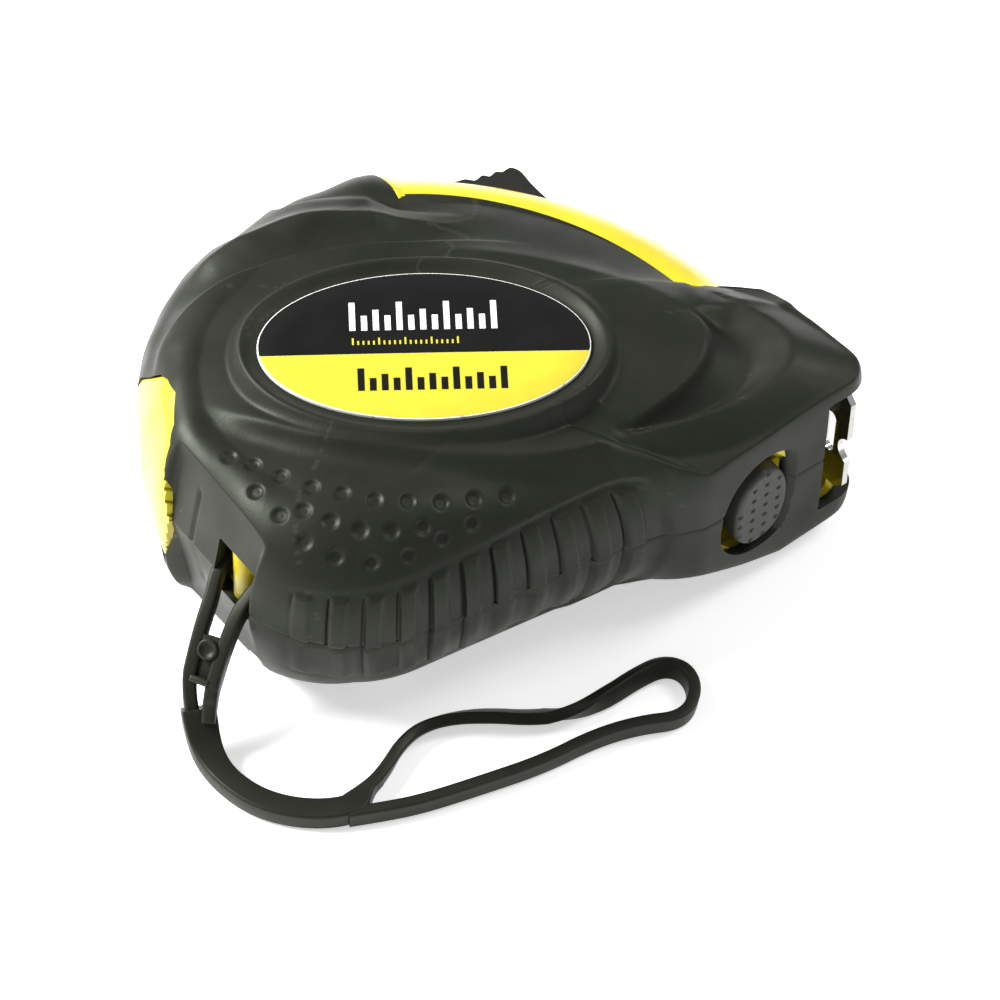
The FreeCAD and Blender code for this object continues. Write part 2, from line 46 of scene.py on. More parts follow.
# ---------------------------------------------------------------- camera
TURN = math.radians(38.8)      # from the picture's level line to the blade's axis
DOWN = math.radians(51.5)      # the camera looks down this much
ROLL = math.radians(2.35)      # the picture is tilted by this much
AIM = np.array([8.0, -8.0, 0.0])
DISTANCE = 617.3
FOCAL_LENGTH = 180.0
SENSOR = 36.0

look = np.array([math.sin(TURN) * math.cos(DOWN), math.cos(TURN) * math.cos(DOWN), -math.sin(DOWN)])
sideways = np.array([math.cos(TURN), -math.sin(TURN), 0.0])
upward = np.cross(sideways, look)
right = math.cos(ROLL) * sideways + math.sin(ROLL) * upward
up = -math.sin(ROLL) * sideways + math.cos(ROLL) * upward
place = (AIM - look * DISTANCE) * MM
cam_data = bpy.data.cameras.new("camera")
cam_data.lens = FOCAL_LENGTH
cam_data.sensor_width = SENSOR
cam_data.clip_start = 0.01
camera = bpy.data.objects.new("camera", cam_data)
bpy.context.scene.collection.objects.link(camera)
camera.matrix_world = Matrix(((right[0], up[0], -look[0], place[0]), (right[1], up[1], -look[1], place[1]),
                              (right[2], up[2], -look[2], place[2]), (0, 0, 0, 1)))
bpy.context.scene.camera = camera
bpy.context.scene.view_settings.view_transform = "Standard"


# ---------------------------------------------------------------- materials
def material(name, colour, rough, metallic=0.0, coat=0.0, coat_rough=0.1, specular=0.5, tint=(1, 1, 1)):
    mat = bpy.data.materials.new(name)
    mat.use_nodes = True
    sockets = mat.node_tree.nodes["Principled BSDF"].inputs
    for socket, value in (
            ("Base Color", (*colour, 1)), ("Roughness", rough), ("Metallic", metallic), ("Coat Weight", coat),
            ("Coat Roughness", coat_rough), ("Specular IOR Level", specular), ("Specular Tint", (*tint, 1))):
        sockets[socket].default_value = value
    return mat


class Nodes:
    """Short names for adding nodes to a material."""

    def __init__(self, mat):
        self.tree = mat.node_tree
        self.shader = self.tree.nodes["Principled BSDF"]

    def add(self, kind, **settings):
        node = self.tree.nodes.new(kind)
        for key, value in settings.items():
            setattr(node, key, value)
        return node

    def link(self, a, b):
        self.tree.links.new(a, b)

    def place(self):
        return self.add("ShaderNodeNewGeometry").outputs["Position"]

    def noise(self, scale, detail=4.0, rough=0.55, where=None):
        node = self.add("ShaderNodeTexNoise")
        node.inputs["Scale"].default_value = scale
        node.inputs["Detail"].default_value = detail
        node.inputs["Roughness"].default_value = rough
        self.link(where or self.place(), node.inputs["Vector"])
        return node.outputs["Fac"]

    def ramp(self, fac, stops):
        """Grey values by place."""
        node = self.add("ShaderNodeValToRGB")
        ramp = node.color_ramp
        while len(ramp.elements) < len(stops):
            ramp.elements.new(0.5)
        for element, (at, value) in zip(ramp.elements, stops):
            element.position = at
            element.color = (value, value, value, 1)
        self.link(fac, node.inputs["Fac"])
        return node.outputs["Color"]

    def math(self, op, a, b):
        node = self.add("ShaderNodeMath", operation=op)
        for socket, value in zip(node.inputs, (a, b)):
            if isinstance(value, (int, float)):
                socket.default_value = value
            else:
                self.link(value, socket)
        return node.outputs[0]

    def mix(self, fac, a, b):
        node = self.add("ShaderNodeMix", data_type="RGBA")
        for socket, value in ((node.inputs[0], fac), (node.inputs[6], a), (node.inputs[7], b)):
            if isinstance(value, tuple):
                socket.default_value = (*value, 1)
            else:
                self.link(value, socket)
        return node.outputs[2]

    def bump(self, height, strength, distance):
        node = self.add("ShaderNodeBump")
        node.inputs["Strength"].default_value = strength
        node.inputs["Distance"].default_value = distance
        self.link(height, node.inputs["Height"])
        return node.outputs["Normal"]

    def split(self, where):
        node = self.add("ShaderNodeSeparateXYZ")
        self.link(where, node.inputs[0])
        return node.outputs

    def finish(self, colour, rough, normal):
        for name, value in (("Base Color", colour), ("Roughness", rough), ("Normal", normal)):
            self.link(value, self.shader.inputs[name])


def rubber(name, dark, light, rough, grain):
    """Moulded rubber: spark-eroded grain, faint cloudy bloom, sharp edges lightened with painted edge
    highlight and rubbed wear, and a few light specks of dust and painted glints.
    """
    mat = material(name, dark, rough, specular=0.22, tint=(0.95, 1.0, 0.84))
    n = Nodes(mat)
    cloud = n.noise(55.0, 5.0, 0.6)
    fine = n.noise(2600.0, 3.0, 0.65)
    speck = n.noise(900.0, 1.0, 0.4)
    edge = n.add("ShaderNodeNewGeometry").outputs["Pointiness"]
    # sharp convex edges lightened by pointiness: painted edge highlight, partly rubbed wear
    edge_highlight_and_wear = n.ramp(edge, [(0.51, 0.0), (0.60, 1.0)])
    body = n.mix(n.ramp(cloud, [(0.32, 0.0), (0.72, 1.0)]), dark, light)
    worn = n.mix(n.math("MULTIPLY", edge_highlight_and_wear, 0.35), body, tuple(2.6 * c for c in light))
    # a few light specks: partly dust, partly painted glints
    dust_and_glints = n.mix(n.ramp(speck, [(0.82, 0.0), (0.85, 0.3)]), worn, (0.12, 0.12, 0.10))
    rough_map = n.ramp(n.noise(130.0, 4.0, 0.5), [(0.3, rough - 0.08), (0.7, rough + 0.08)])
    n.finish(dust_and_glints, rough_map, n.bump(fine, grain, 0.00006))
    return mat


def plastic(name, colour, deep, rough, coat=0.0):
    """Moulded ABS: light orange peel, slight colour flow, tiny scuffs in the gloss."""
    mat = material(name, colour, rough, coat=coat, coat_rough=0.15)
    n = Nodes(mat)
    flow = n.ramp(n.noise(70.0, 3.0, 0.5), [(0.35, 0.0), (0.75, 1.0)])
    scuff = n.ramp(n.noise(420.0, 6.0, 0.75), [(0.55, rough), (0.75, rough + 0.22)])
    peel = n.noise(900.0, 2.0, 0.4)
    n.finish(n.mix(flow, colour, deep), scuff, n.bump(peel, 0.12, 0.00008))
    return mat


def metal(name, colour, rough, brushed, scale=(900.0, 30.0, 900.0)):
    """Plated or rolled steel with fine directional marks and cloudy roughness."""
    mat = material(name, colour, rough, metallic=1.0)
    n = Nodes(mat)
    stretch = n.add("ShaderNodeMapping")
    stretch.inputs["Scale"].default_value = scale
    n.link(n.place(), stretch.inputs["Vector"])
    lines = n.noise(1.0, 3.0, 0.6, stretch.outputs[0])
    cloud = n.ramp(n.noise(120.0, 4.0, 0.6), [(0.3, rough), (0.8, rough + 0.16)])
    tint = n.mix(n.ramp(lines, [(0.3, 0.0), (0.7, 1.0)]), colour, tuple(0.82 * c for c in colour))
    n.finish(tint, cloud, n.bump(lines, brushed, 0.00004))
    return mat


RUBBER = rubber("moulded_rubber", (0.0100, 0.0112, 0.0082), (0.0155, 0.0168, 0.0125), 0.47, 0.30)
STRAP = rubber("strap_rubber", (0.0100, 0.0106, 0.0080), (0.0150, 0.0156, 0.0118), 0.43, 0.22)
YELLOW = plastic("yellow_abs", (0.66, 0.555, 0.024), (0.60, 0.48, 0.016), 0.30, 0.10)
GREY = plastic("grey_button", (0.034, 0.034, 0.029), (0.027, 0.027, 0.023), 0.55)
BLACK = plastic("black_plastic", (0.008, 0.008, 0.0065), (0.012, 0.012, 0.010), 0.42)
CHROME = metal("bright_chrome", (0.80, 0.80, 0.77), 0.07, 0.05)
ZINC = metal("zinc_plate", (0.60, 0.60, 0.57), 0.30, 0.20)
BLUED = metal("blued_steel", (0.30, 0.31, 0.34), 0.30, 0.25, (40.0, 40.0, 1200.0))


# ---------------------------------------------------------------- mesh helpers
def unit(v):
    return v / np.linalg.norm(v)


def mesh(name, verts, faces, mat, body, sharp=None, node=None, slot=None):
    """A piece from millimetre vertices, riding on a CAD body and standing for a CAD node. It is smooth except
    at edges steeper than sharp degrees, or flat-shaded without sharp."""
    data = bpy.data.meshes.new(name)
    data.from_pydata([tuple(v) for v in np.asarray(verts, float) * MM], [], [tuple(f) for f in faces])
    data.validate()
    data.update()
    data.materials.append(mat)
    obj = bpy.data.objects.new(name, data)
    bpy.context.scene.collection.objects.link(obj)
    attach(obj, body)
    if node is not None:
        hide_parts(node)
    if sharp is not None:
        with bpy.context.temp_override(object=obj, active_object=obj, selected_objects=[obj],
                                       selected_editable_objects=[obj]):
            bpy.ops.object.shade_smooth_by_angle(angle=math.radians(sharp))
    return obj


def grid_faces(rows, columns, closed=False):
    """Quads of a rows x columns grid whose last column joins the first when closed."""
    last = columns if closed else columns - 1
    i, j = np.meshgrid(np.arange(rows - 1), np.arange(last), indexing="ij")
    k = (j + 1) % columns
    quads = np.stack([i * columns + j, i * columns + k, (i + 1) * columns + k, (i + 1) * columns + j], -1)
    return quads.reshape(-1, 4).tolist()


def smoothstep(low, high, x):
    t = np.clip((x - low) / (high - low), 0, 1)
    return t * t * (3 - 2 * t)


def clip(verts, faces, keep):
    """Cuts a mesh along the line where keep, one number per vertex, goes through zero."""
    verts = [tuple(v) for v in verts]
    keep = list(keep)
    made = {}
    out = []
    for face in faces:
        signs = [keep[v] >= 0 for v in face]
        if all(signs):
            out.append(tuple(face))
            continue
        if not any(signs):
            continue
        ring = []
        for a, b in zip(face, list(face[1:]) + [face[0]]):
            if keep[a] >= 0:
                ring.append(a)
            if (keep[a] >= 0) != (keep[b] >= 0):
                key = (min(a, b), max(a, b))
                if key not in made:
                    t = keep[a] / (keep[a] - keep[b])
                    made[key] = len(verts)
                    verts.append(tuple(verts[a][i] + t * (verts[b][i] - verts[a][i]) for i in range(3)))
                    keep.append(0.0)
                ring.append(made[key])
        if len(ring) >= 3:
            out.append(tuple(ring))
    return np.array(verts), out


def tidy_mesh(verts, faces):
    """Drops the vertices that no face uses."""
    used = sorted({v for f in faces for v in f})
    new = {v: i for i, v in enumerate(used)}
    return np.asarray(verts)[used], [tuple(new[v] for v in f) for f in faces]


def rim(verts, faces, move):
    """Adds a wall along every open edge, from the edge to where move() takes it."""
    count = {}
    for face in faces:
        for a, b in zip(face, list(face[1:]) + [face[0]]):
            key = (min(a, b), max(a, b))
            count[key] = None if key in count else (a, b)
    edges = [e for e in count.values() if e is not None]
    border = sorted({v for e in edges for v in e})
    new = {v: len(verts) + i for i, v in enumerate(border)}
    verts = np.vstack([verts, move(np.asarray(verts)[border])])
    walls = [(b, a, new[a], new[b]) for a, b in edges]
    return verts, list(faces) + walls


# ---------------------------------------------------------------- strap
def curve_points(name, points, resolution=16):
    """Points along the NURBS spline that has these control points, in millimetres."""
    data = bpy.data.curves.new(name, "CURVE")
    data.dimensions = "3D"
    data.resolution_u = resolution
    spline = data.splines.new("NURBS")
    spline.points.add(len(points) - 1)
    for point, co in zip(spline.points, points):
        point.co = (*(c * MM for c in co), 1)
    spline.order_u = 3
    spline.use_endpoint_u = True
    obj = bpy.data.objects.new(name, data)
    bpy.context.scene.collection.objects.link(obj)
    bpy.context.view_layer.update()
    line = bpy.data.meshes.new_from_object(obj)
    co = np.array([v.co for v in line.vertices], float) / MM
    bpy.data.objects.remove(obj)
    return co


def rounded_section(wide, high, radius, steps=4):
    """Corner-rounded rectangle as (across, up) points."""
    ring = []
    for turn, (sx, sy) in enumerate(((1, 1), (-1, 1), (-1, -1), (1, -1))):
        for step in range(steps + 1):
            angle = math.pi / 2 * (turn + step / steps)
            ring.append((sx * (wide / 2 - radius) + radius * math.cos(angle),
                         sy * (high / 2 - radius) + radius * math.sin(angle)))
    return np.array(ring)


def sweep(points, section_at):
    """A band along points; section_at(fraction) gives its section and its lean in degrees."""
    tangent = np.gradient(points, axis=0)
    tangent /= np.linalg.norm(tangent, axis=1)[:, None]
    length = np.concatenate([[0], np.cumsum(np.linalg.norm(np.diff(points, axis=0), axis=1))])
    rings = []
    for point, t, fraction in zip(points, tangent, length / length[-1]):
        section, lean = section_at(fraction)
        side = unit(np.cross(t, (0, 0, 1.0)))
        high = np.cross(side, t)
        c, s = math.cos(math.radians(lean)), math.sin(math.radians(lean))
        across, rise = c * side + s * high, -s * side + c * high
        rings.append(point + section[:, :1] * across + section[:, 1:] * rise)
    count = len(rings[0])
    verts = np.vstack(rings)
    faces = grid_faces(len(rings), count, closed=True)
    faces = [f[::-1] for f in faces]
    last = (len(rings) - 1) * count
    faces.append(tuple(range(count)))
    faces.append(tuple(last + i for i in reversed(range(count))))
    return verts, faces


BAND_THICK = 1.5
BAND_HIGH = 2.5
ANCHOR_ROUTE = [(-43.1, -15.2, 4.8), (-42.3, -13.3, 7.2), (-40.0, -11.6, 10.0), (-37.7, -10.0, 12.3),
                (-35.4, -8.6, 14.2), (-33.3, -6.8, 15.6), (-30.8, -5.7, 16.2), (-28.2, -6.6, 16.4),
                (-27.3, -9.2, 16.4), (-28.8, -11.5, 16.2), (-31.6, -11.9, 15.6), (-34.2, -12.4, 14.0),
                (-36.5, -13.4, 11.8), (-38.8, -14.7, 9.5), (-40.9, -16.0, 7.0), (-42.2, -17.4, 4.6)]
NECK_ROUTE = [(-42.3, -15.4, 5.2), (-43.2, -17.2, 3.0), (-44.1, -20.4, 1.5), (-44.2, -24.4, 1.5),
              (-43.0, -28.6, 1.5), (-40.5, -32.1, 1.5), (-37.4, -34.6, 1.5), (-34.3, -35.9, 1.5),
              (-32.0, -34.9, 1.4), (-29.4, -34.1, 1.4)]
LOOP_ROUTE = [(-34.6, -34.7, 1.4), (-31.3, -34.6, 1.4), (-28.0, -33.4, 1.4), (-24.9, -31.7, 1.4),
              (-21.4, -30.9, 1.4), (-17.4, -31.9, 1.4), (-13.4, -34.3, 1.4), (-9.4, -37.7, 1.4),
              (-4.9, -39.9, 1.4), (-0.4, -40.4, 1.4), (4.2, -40.2, 1.4), (7.9, -40.6, 1.4),
              (9.6, -43.0, 1.4), (8.5, -46.3, 1.4), (4.9, -48.4, 1.4), (0.2, -45.9, 1.4),
              (-5.4, -44.3, 1.4), (-12.6, -43.7, 1.4), (-20.4, -41.8, 1.4), (-27.6, -39.9, 1.4),
              (-32.2, -38.0, 1.4), (-35.6, -36.4, 1.4)]


def strand_section(fraction):
    return rounded_section(BAND_THICK + 0.2, BAND_HIGH - 0.3, 0.45), 0.0


def neck_section(fraction):
    wide = 3.0 + 1.2 * (1 - smoothstep(0.0, 0.35, fraction)) - 1.9 * smoothstep(0.84, 0.97, fraction)
    return rounded_section(float(wide), BAND_HIGH - 0.1 * float(smoothstep(0.84, 0.9, fraction)), 0.4), 0.0


def loop_section(fraction):
    lean = np.interp(fraction, [0, 0.08, 0.22, 0.30, 0.38, 0.46, 0.52, 0.6, 1.0],
                     [0, -12, -48, -52, 20, 30, 8, 0, 0])
    return rounded_section(BAND_THICK, BAND_HIGH, 0.35), float(lean)


def strap_piece(name, node, route, section_at):
    points = curve_points(name + "_line", route)
    verts, faces = sweep(points, section_at)
    obj = mesh(name, verts, faces, STRAP, "case", sharp=50, node=node, slot="strap_rubber")
    return obj, points


anchor, anchor_line = strap_piece("wrist_strap_anchor", "strap_anchor", ANCHOR_ROUTE, strand_section)
neck, neck_line = strap_piece("wrist_strap_neck", "strap_neck", NECK_ROUTE, neck_section)
loop, loop_line = strap_piece("wrist_strap_loop", "strap_loop", LOOP_ROUTE, loop_section)

# the moulded bridge that holds the strands together: a plate, a round stud and a bar behind a small recess
BRIDGE_LINE = np.array([(-37.6, -12.1, 11.5), (-38.8, -12.9, 10.3), (-40.0, -13.6, 9.1), (-41.2, -14.3, 7.8)])
BAR_LINE = np.array([(-40.75, -14.05, 8.55), (-41.25, -14.33, 8.0)])
SEAT_LINE = np.array([(-37.5, -12.0, 11.75), (-39.2, -13.1, 10.1)])
BRIDGE_WIDE = 2.6


def bridge_part(name, line, high, radius):
    verts, faces = sweep(line, lambda fraction: (rounded_section(BRIDGE_WIDE, high, radius), 0.0))
    return mesh(name, verts, faces, STRAP, "case", slot="strap_rubber", sharp=180)


bridge = bridge_part("strap_bridge", BRIDGE_LINE, 0.9, 0.2)
bar = bridge_part("strap_bridge_bar", BAR_LINE, 1.9, 0.3)
seat = bridge_part("strap_bridge_seat", SEAT_LINE, 1.7, 0.3)


def revolve(profile, centre, axis, turns=40):
    """Verts and faces of a (radius, height) profile turned about an axis; both ends are closed."""
    axis = unit(np.array(axis, float))
    side = unit(np.cross(axis, (0.3, 0.9, 0.1)))
    other = np.cross(axis, side)
    verts = []
    for radius, height in profile:
        for i in range(turns):
            angle = 2 * math.pi * i / turns
            verts.append(np.array(centre) + axis * height
                         + radius * (math.cos(angle) * side + math.sin(angle) * other))
    faces = grid_faces(len(profile), turns, closed=True)
    faces.append(tuple(reversed(range(turns))))
    faces.append(tuple((len(profile) - 1) * turns + i for i in range(turns)))
    return np.array(verts), faces


bridge_run = BRIDGE_LINE[-1] - BRIDGE_LINE[0]
stud_axis = unit(np.cross(np.cross(bridge_run, (0, 0, 1.0)), bridge_run))
stud_profile = [(1.3, 0.0), (1.3, 1.15), (1.22, 1.3), (1.05, 1.38), (0.9, 1.3), (0.8, 1.2), (0.3, 1.15)]
stud = mesh("strap_stud", *revolve(stud_profile, (-38.5, -12.6, 10.7), stud_axis), STRAP, "case", sharp=180,
            slot="strap_rubber")


# ---------------------------------------------------------------- case surface
CENTRE = np.array([0.0, 2.0])
ARC_CENTRE = np.array([-11.7, -15.1])
BORDER_R = 43.2                # radius about ARC_CENTRE where the rubber's edge meets the yellow strip
EDGE_SOFT = 1.6                # how far the outline's corners are evened out, each way


def arc_points(start, via, end, count=24):
    """Points on the arc through three points."""
    (ax, ay), (bx, by), (cx, cy) = start, via, end
    d = 2 * (ax * (by - cy) + bx * (cy - ay) + cx * (ay - by))
    a2, b2, c2 = ax * ax + ay * ay, bx * bx + by * by, cx * cx + cy * cy
    ux = (a2 * (by - cy) + b2 * (cy - ay) + c2 * (ay - by)) / d
    uy = (a2 * (cx - bx) + b2 * (ax - cx) + c2 * (bx - ax)) / d
    first, middle, last = (math.atan2(y - uy, x - ux) for x, y in (start, via, end))
    sweep_angle = (last - first) % (2 * math.pi)
    if (middle - first) % (2 * math.pi) > sweep_angle:
        sweep_angle -= 2 * math.pi
    radius = math.hypot(ax - ux, ay - uy)
    angles = [first + sweep_angle * i / count for i in range(1, count + 1)]
    return [(ux + radius * math.cos(a), uy + radius * math.sin(a)) for a in angles]


def evened(values, reach):
    """Evens out a closed row of values over reach places each way."""
    weight = np.hanning(2 * reach + 3)[1:-1]
    padded = np.concatenate([values[-reach:], values, values[:reach]])
    return np.convolve(padded, weight / weight.sum(), "valid")


def outline(count):
    """The case's edge at the seam as evenly spaced points, anticlockwise from the nose's underside."""
    start = (16.8, -36.3)
    points = [start, (38.5, -36.3)]
    points += arc_points((38.5, -36.3), (40.9, -35.3), (42.0, -33.0), 8)
    points += [(41.2, -19.0), (39.9, -14.4), (39.5, -9.6)]
    points += arc_points((39.5, -9.6), (32.3, 10.9), (16.9, 27.0))
    points += [(14.6, 28.9), (11.1, 29.8), (7.6, 30.3), (4.2, 31.3), (0.0, 31.7), (-4.1, 31.0), (-7.7, 30.3),
               (-10.8, 30.3), (-14.9, 28.9), (-19.6, 26.2), (-24.0, 22.6), (-28.2, 17.8), (-31.8, 11.5),
               (-34.2, 4.8), (-34.7, -1.5), (-34.8, -11.5), (-34.6, -15.5)]
    points += arc_points((-34.6, -15.5), (-29.6, -24.4), (-20.1, -29.2))
    points += [(-9.7, -30.9), (1.0, -32.4), (12.2, -34.5), start]
    points = np.array(points)
    along = np.concatenate([[0], np.cumsum(np.linalg.norm(np.diff(points, axis=0), axis=1))])
    at = np.arange(count) * along[-1] / count
    ring = np.stack([np.interp(at, along, points[:, i]) for i in (0, 1)], 1)
    return np.stack([evened(ring[:, i], int(count / along[-1] * EDGE_SOFT)) for i in (0, 1)], 1)


# (direction from the centre in degrees, how far the edge's rounding reaches in, its height, its squareness)
ROUNDING = [(-66, 1.0, 9.7, 4.0), (-56, 0.9, 10.6, 4.0), (-47, 1.0, 11.8, 4.0), (-41, 1.3, 12.0, 4.0),
            (-34, 1.6, 11.5, 4.0), (-28, 2.0, 10.6, 4.0), (-26.0, 2.4, 10.4, 3.6), (-23.7, 9.0, 11.0, 2.0),
            (20, 9.0, 11.0, 2.0), (55, 9.0, 11.2, 2.0), (66, 11.0, 13.6, 2.0), (100, 13.0, 14.6, 1.9),
            (130, 12.0, 14.4, 2.0), (148, 8.5, 14.0, 2.1), (180, 6.5, 13.4, 2.6), (204, 8.5, 13.6, 2.3),
            (225, 13.6, 14.3, 2.0), (270, 14.4, 14.4, 2.0), (284, 12.0, 13.4, 2.1), (290, 6.5, 11.8, 2.6),
            (294, 1.0, 9.7, 4.0)]
# heights of the lower half's edge below the seam, by the same direction, where it isn't rounded to the floor
NOSE_UNDER = [(-86, 16.8), (-76, 14.2), (-68, 10.8), (-66, 9.8), (-58, 12.6), (-52, 14.3), (-45, 13.6),
              (-25, 13.6), (-23.6, 16.8)]
REAR = (80, 200)               # directions where the underside's edge is tighter, to carry two screw heads
REAR_TIGHTER = 0.75
EDGE_FADE = 3.0                # the edge's own height dies away over this distance


def by_direction(table, angle, column):
    """Looks a column up by direction, all the way round from the table's first one."""
    table = np.array(table)
    first = table[0, 0]
    return np.interp((angle - first) % 360 + first, table[:, 0], table[:, column])


def case_grid(columns, wall_rows, inner_rows, crown=16.1, reach=11.0, low=None):
    """Half of the case: rows from the seam over the edge and in to the centre. Heights are from the seam; the
    surface nears the crown's height over reach, and low() gives the underside's edge height."""
    edge = outline(columns)
    inwards = CENTRE - edge
    span = np.linalg.norm(inwards, axis=1)
    inwards /= span[:, None]
    angle = np.degrees(np.arctan2(-inwards[:, 1], -inwards[:, 0]))
    wide, high, square = (by_direction(ROUNDING, angle, i) for i in (1, 2, 3))
    if low is not None:
        high = low(angle)
        wide = wide * np.where((angle % 360 > REAR[0]) & (angle % 360 < REAR[1]), REAR_TIGHTER, 1.0)
    turn = np.linspace(0, math.pi / 2, 160)
    s = wide * (1 - np.cos(turn)[:, None] ** (2 / square))
    h = high * np.sin(turn)[:, None] ** (2 / square)
    steps = np.hypot(np.diff(s, axis=0), np.diff(h, axis=0))
    run = np.concatenate([np.zeros((1, columns)), np.cumsum(steps, axis=0)])
    share = np.linspace(0, 1, wall_rows)
    wall_s, wall_h = np.empty((wall_rows, columns)), np.empty((wall_rows, columns))
    for i in range(columns):
        wall_s[:, i] = np.interp(share * run[-1, i], run[:, i], s[:, i])
        wall_h[:, i] = np.interp(share * run[-1, i], run[:, i], h[:, i])
    inner_s = wide + np.linspace(0, 1, inner_rows + 1)[1:, None] * (span - wide)
    soft_wide, soft_high = evened(wide, columns // 14), evened(high, columns // 14)

    def surface_height(at):
        return soft_high + (crown - soft_high) * (1 - np.exp(-np.maximum(at - soft_wide, 0) / reach))

    inner_h = surface_height(inner_s) + (high - surface_height(wide)) * np.exp(-(inner_s - wide) / EDGE_FADE)
    s, h = np.vstack([wall_s, inner_s]), np.vstack([wall_h, inner_h])
    x = edge[:, 0] + inwards[:, 0] * s
    y = edge[:, 1] + inwards[:, 1] * s
    return x, y, h, np.broadcast_to(angle, x.shape)


def smooth_line(points, rounds=3):
    """Corner-cut polyline through a few points, its ends kept."""
    line = np.array(points, float)
    for _ in range(rounds):
        near = 0.75 * line[:-1] + 0.25 * line[1:]
        far = 0.25 * line[:-1] + 0.75 * line[1:]
        line = np.vstack([line[:1], np.stack([near, far], 1).reshape(-1, 2), line[-1:]])
    return line


def from_line(x, y, points):
    """Distance from a smoothed line, positive on its left, and how far along it the nearest point lies."""
    line = smooth_line(points)
    best = np.full(x.shape, 1e9)
    side = np.ones(x.shape)
    share = np.zeros(x.shape)
    steps = np.linalg.norm(np.diff(line, axis=0), axis=1)
    starts = np.concatenate([[0], np.cumsum(steps)]) / steps.sum()
    for i, (a, b) in enumerate(zip(line[:-1], line[1:])):
        run = b - a
        t = np.clip(((x - a[0]) * run[0] + (y - a[1]) * run[1]) / (run @ run), 0, 1)
        dx, dy = x - a[0] - t * run[0], y - a[1] - t * run[1]
        distance = np.hypot(dx, dy)
        closer = distance < best
        best = np.where(closer, distance, best)
        side = np.where(closer, np.where(run[0] * dy - run[1] * dx >= 0, 1.0, -1.0), side)
        share = np.where(closer, starts[i] + t * (starts[i + 1] - starts[i]), share)
    return best * side, share


def ends(share, into, out):
    """Fades a feature in and out along its line."""
    return smoothstep(0.0, into, share) * (1 - smoothstep(1 - out, 1.0, share))


LABEL_AT = (-1.6, -4.5)
LABEL_LONG = 19.75
LABEL_SHORT = 11.3
LABEL_TURN = math.radians(-34.3)
DISH_Z = 32.45                 # bottom of the dish that the label lies in


def label_frame(x, y):
    """Places along the label's long and short axes."""
    c, s = math.cos(LABEL_TURN), math.sin(LABEL_TURN)
    dx, dy = x - LABEL_AT[0], y - LABEL_AT[1]
    return c * dx + s * dy, -s * dx + c * dy


def from_label(x, y):
    """Distance outside the label's edge."""
    u, v = label_frame(x, y)
    level_set = np.sqrt((u / LABEL_LONG) ** 2 + (v / LABEL_SHORT) ** 2) + 1e-6
    slope = np.sqrt((u / LABEL_LONG ** 2) ** 2 + (v / LABEL_SHORT ** 2) ** 2) / level_set + 1e-6
    return (level_set - 1) / slope


# where the dimples lie: x and y, and the height of the surface there above the resting face
DIMPLES = [(-28.7, -3.1, 30.1), (-27.2, -5.8, 30.2), (-25.7, -9.2, 30.6), (-23.9, -12.8, 30.8),
           (-21.6, -15.7, 30.9), (-19.1, -18.6, 30.9), (-15.9, -20.8, 30.5), (-12.5, -22.7, 29.7),
           (-8.8, -24.1, 29.0), (-5.0, -25.5, 28.2), (-29.2, -9.1, 30.1), (-26.5, -14.8, 30.4),
           (-28.9, -13.5, 30.0), (-24.8, -17.8, 30.2), (-28.4, -17.6, 28.9), (-22.5, -20.5, 29.6),
           (-26.4, -21.0, 28.0), (-19.5, -22.5, 29.3), (-16.0, -23.9, 28.9), (-23.2, -23.7, 27.4),
           (-14.5, -25.7, 27.4), (-19.1, -25.3, 27.2), (-10.5, -26.0, 27.6)]
DIMPLE_R = 1.05
DIMPLE_DEEP = 0.34
# the grip ribs' places along the near edge
RIBS = [(-31.7, -21.4), (-30.0, -25.9), (-26.8, -28.9), (-22.6, -30.5), (-18.3, -31.4), (-13.5, -31.3),
        (-9.0, -31.5), (-4.4, -31.9), (0.1, -32.2), (4.4, -33.0), (8.6, -33.4)]
# creases and ridges of the moulded relief, as a few points each, seen from above
CREASE_B = [(-28.0, 13.5), (-24.3, 17.6), (-17.7, 19.6), (-11.1, 18.8), (-3.6, 16.2), (6.4, 11.6),
            (14.7, 6.5), (20.0, 1.5)]
CREASE_A = [(-17.5, 24.0), (-8.6, 24.2), (-2.4, 22.6), (4.4, 18.6), (11.0, 13.5), (16.7, 8.8)]
CREASE_LOBE = [(-0.5, 28.5), (2.2, 26.6), (6.6, 23.2), (11.3, 18.5), (17.9, 10.4)]
CREASE_C = [(-26.6, 6.0), (-25.4, 1.7), (-23.6, -1.6), (-19.5, -8.4), (-11.4, -16.3), (-2.3, -23.0),
            (4.7, -26.2), (12.5, -27.2)]
RIDGE_F = [(4.0, 10.5), (9.5, 7.6), (13.7, 3.8), (17.8, -0.2), (21.6, -4.9), (24.6, -9.2), (26.6, -13.9),
           (28.0, -17.8)]
DISC_EDGE = [(27.6, -17.6), (28.4, -19.6), (27.2, -22.6), (24.5, -24.9), (20.6, -26.3), (13.4, -26.6),
             (6.0, -25.4)]
CRESCENT_1 = [(28.6, -17.4), (30.2, -20.8), (30.3, -25.0), (28.5, -28.2), (24.2, -29.8), (17.5, -29.2),
              (12.5, -27.4)]
CRESCENT_2 = [(34.6, -20.6), (35.9, -24.6), (35.4, -28.4), (33.0, -30.9), (28.2, -31.8), (20.7, -30.5),
              (12.3, -27.5)]
NOSE_BEVEL = [(28.6, -17.5), (33.0, -18.9), (39.6, -21.6)]


def bell(d, outside, inside):
    """1 on a line, falling off over one width on its left and another on its right."""
    away = np.abs(d)
    return np.exp(-(away / np.where(d > 0, outside, inside)) ** 1.4) * (1 - smoothstep(4.0, 8.0, away))


def step(d, soft, reach):
    """1 just past a line on its left, dying away over reach."""
    return smoothstep(-0.3 * soft, soft, d) * (1 - smoothstep(0.2 * reach, reach, d))


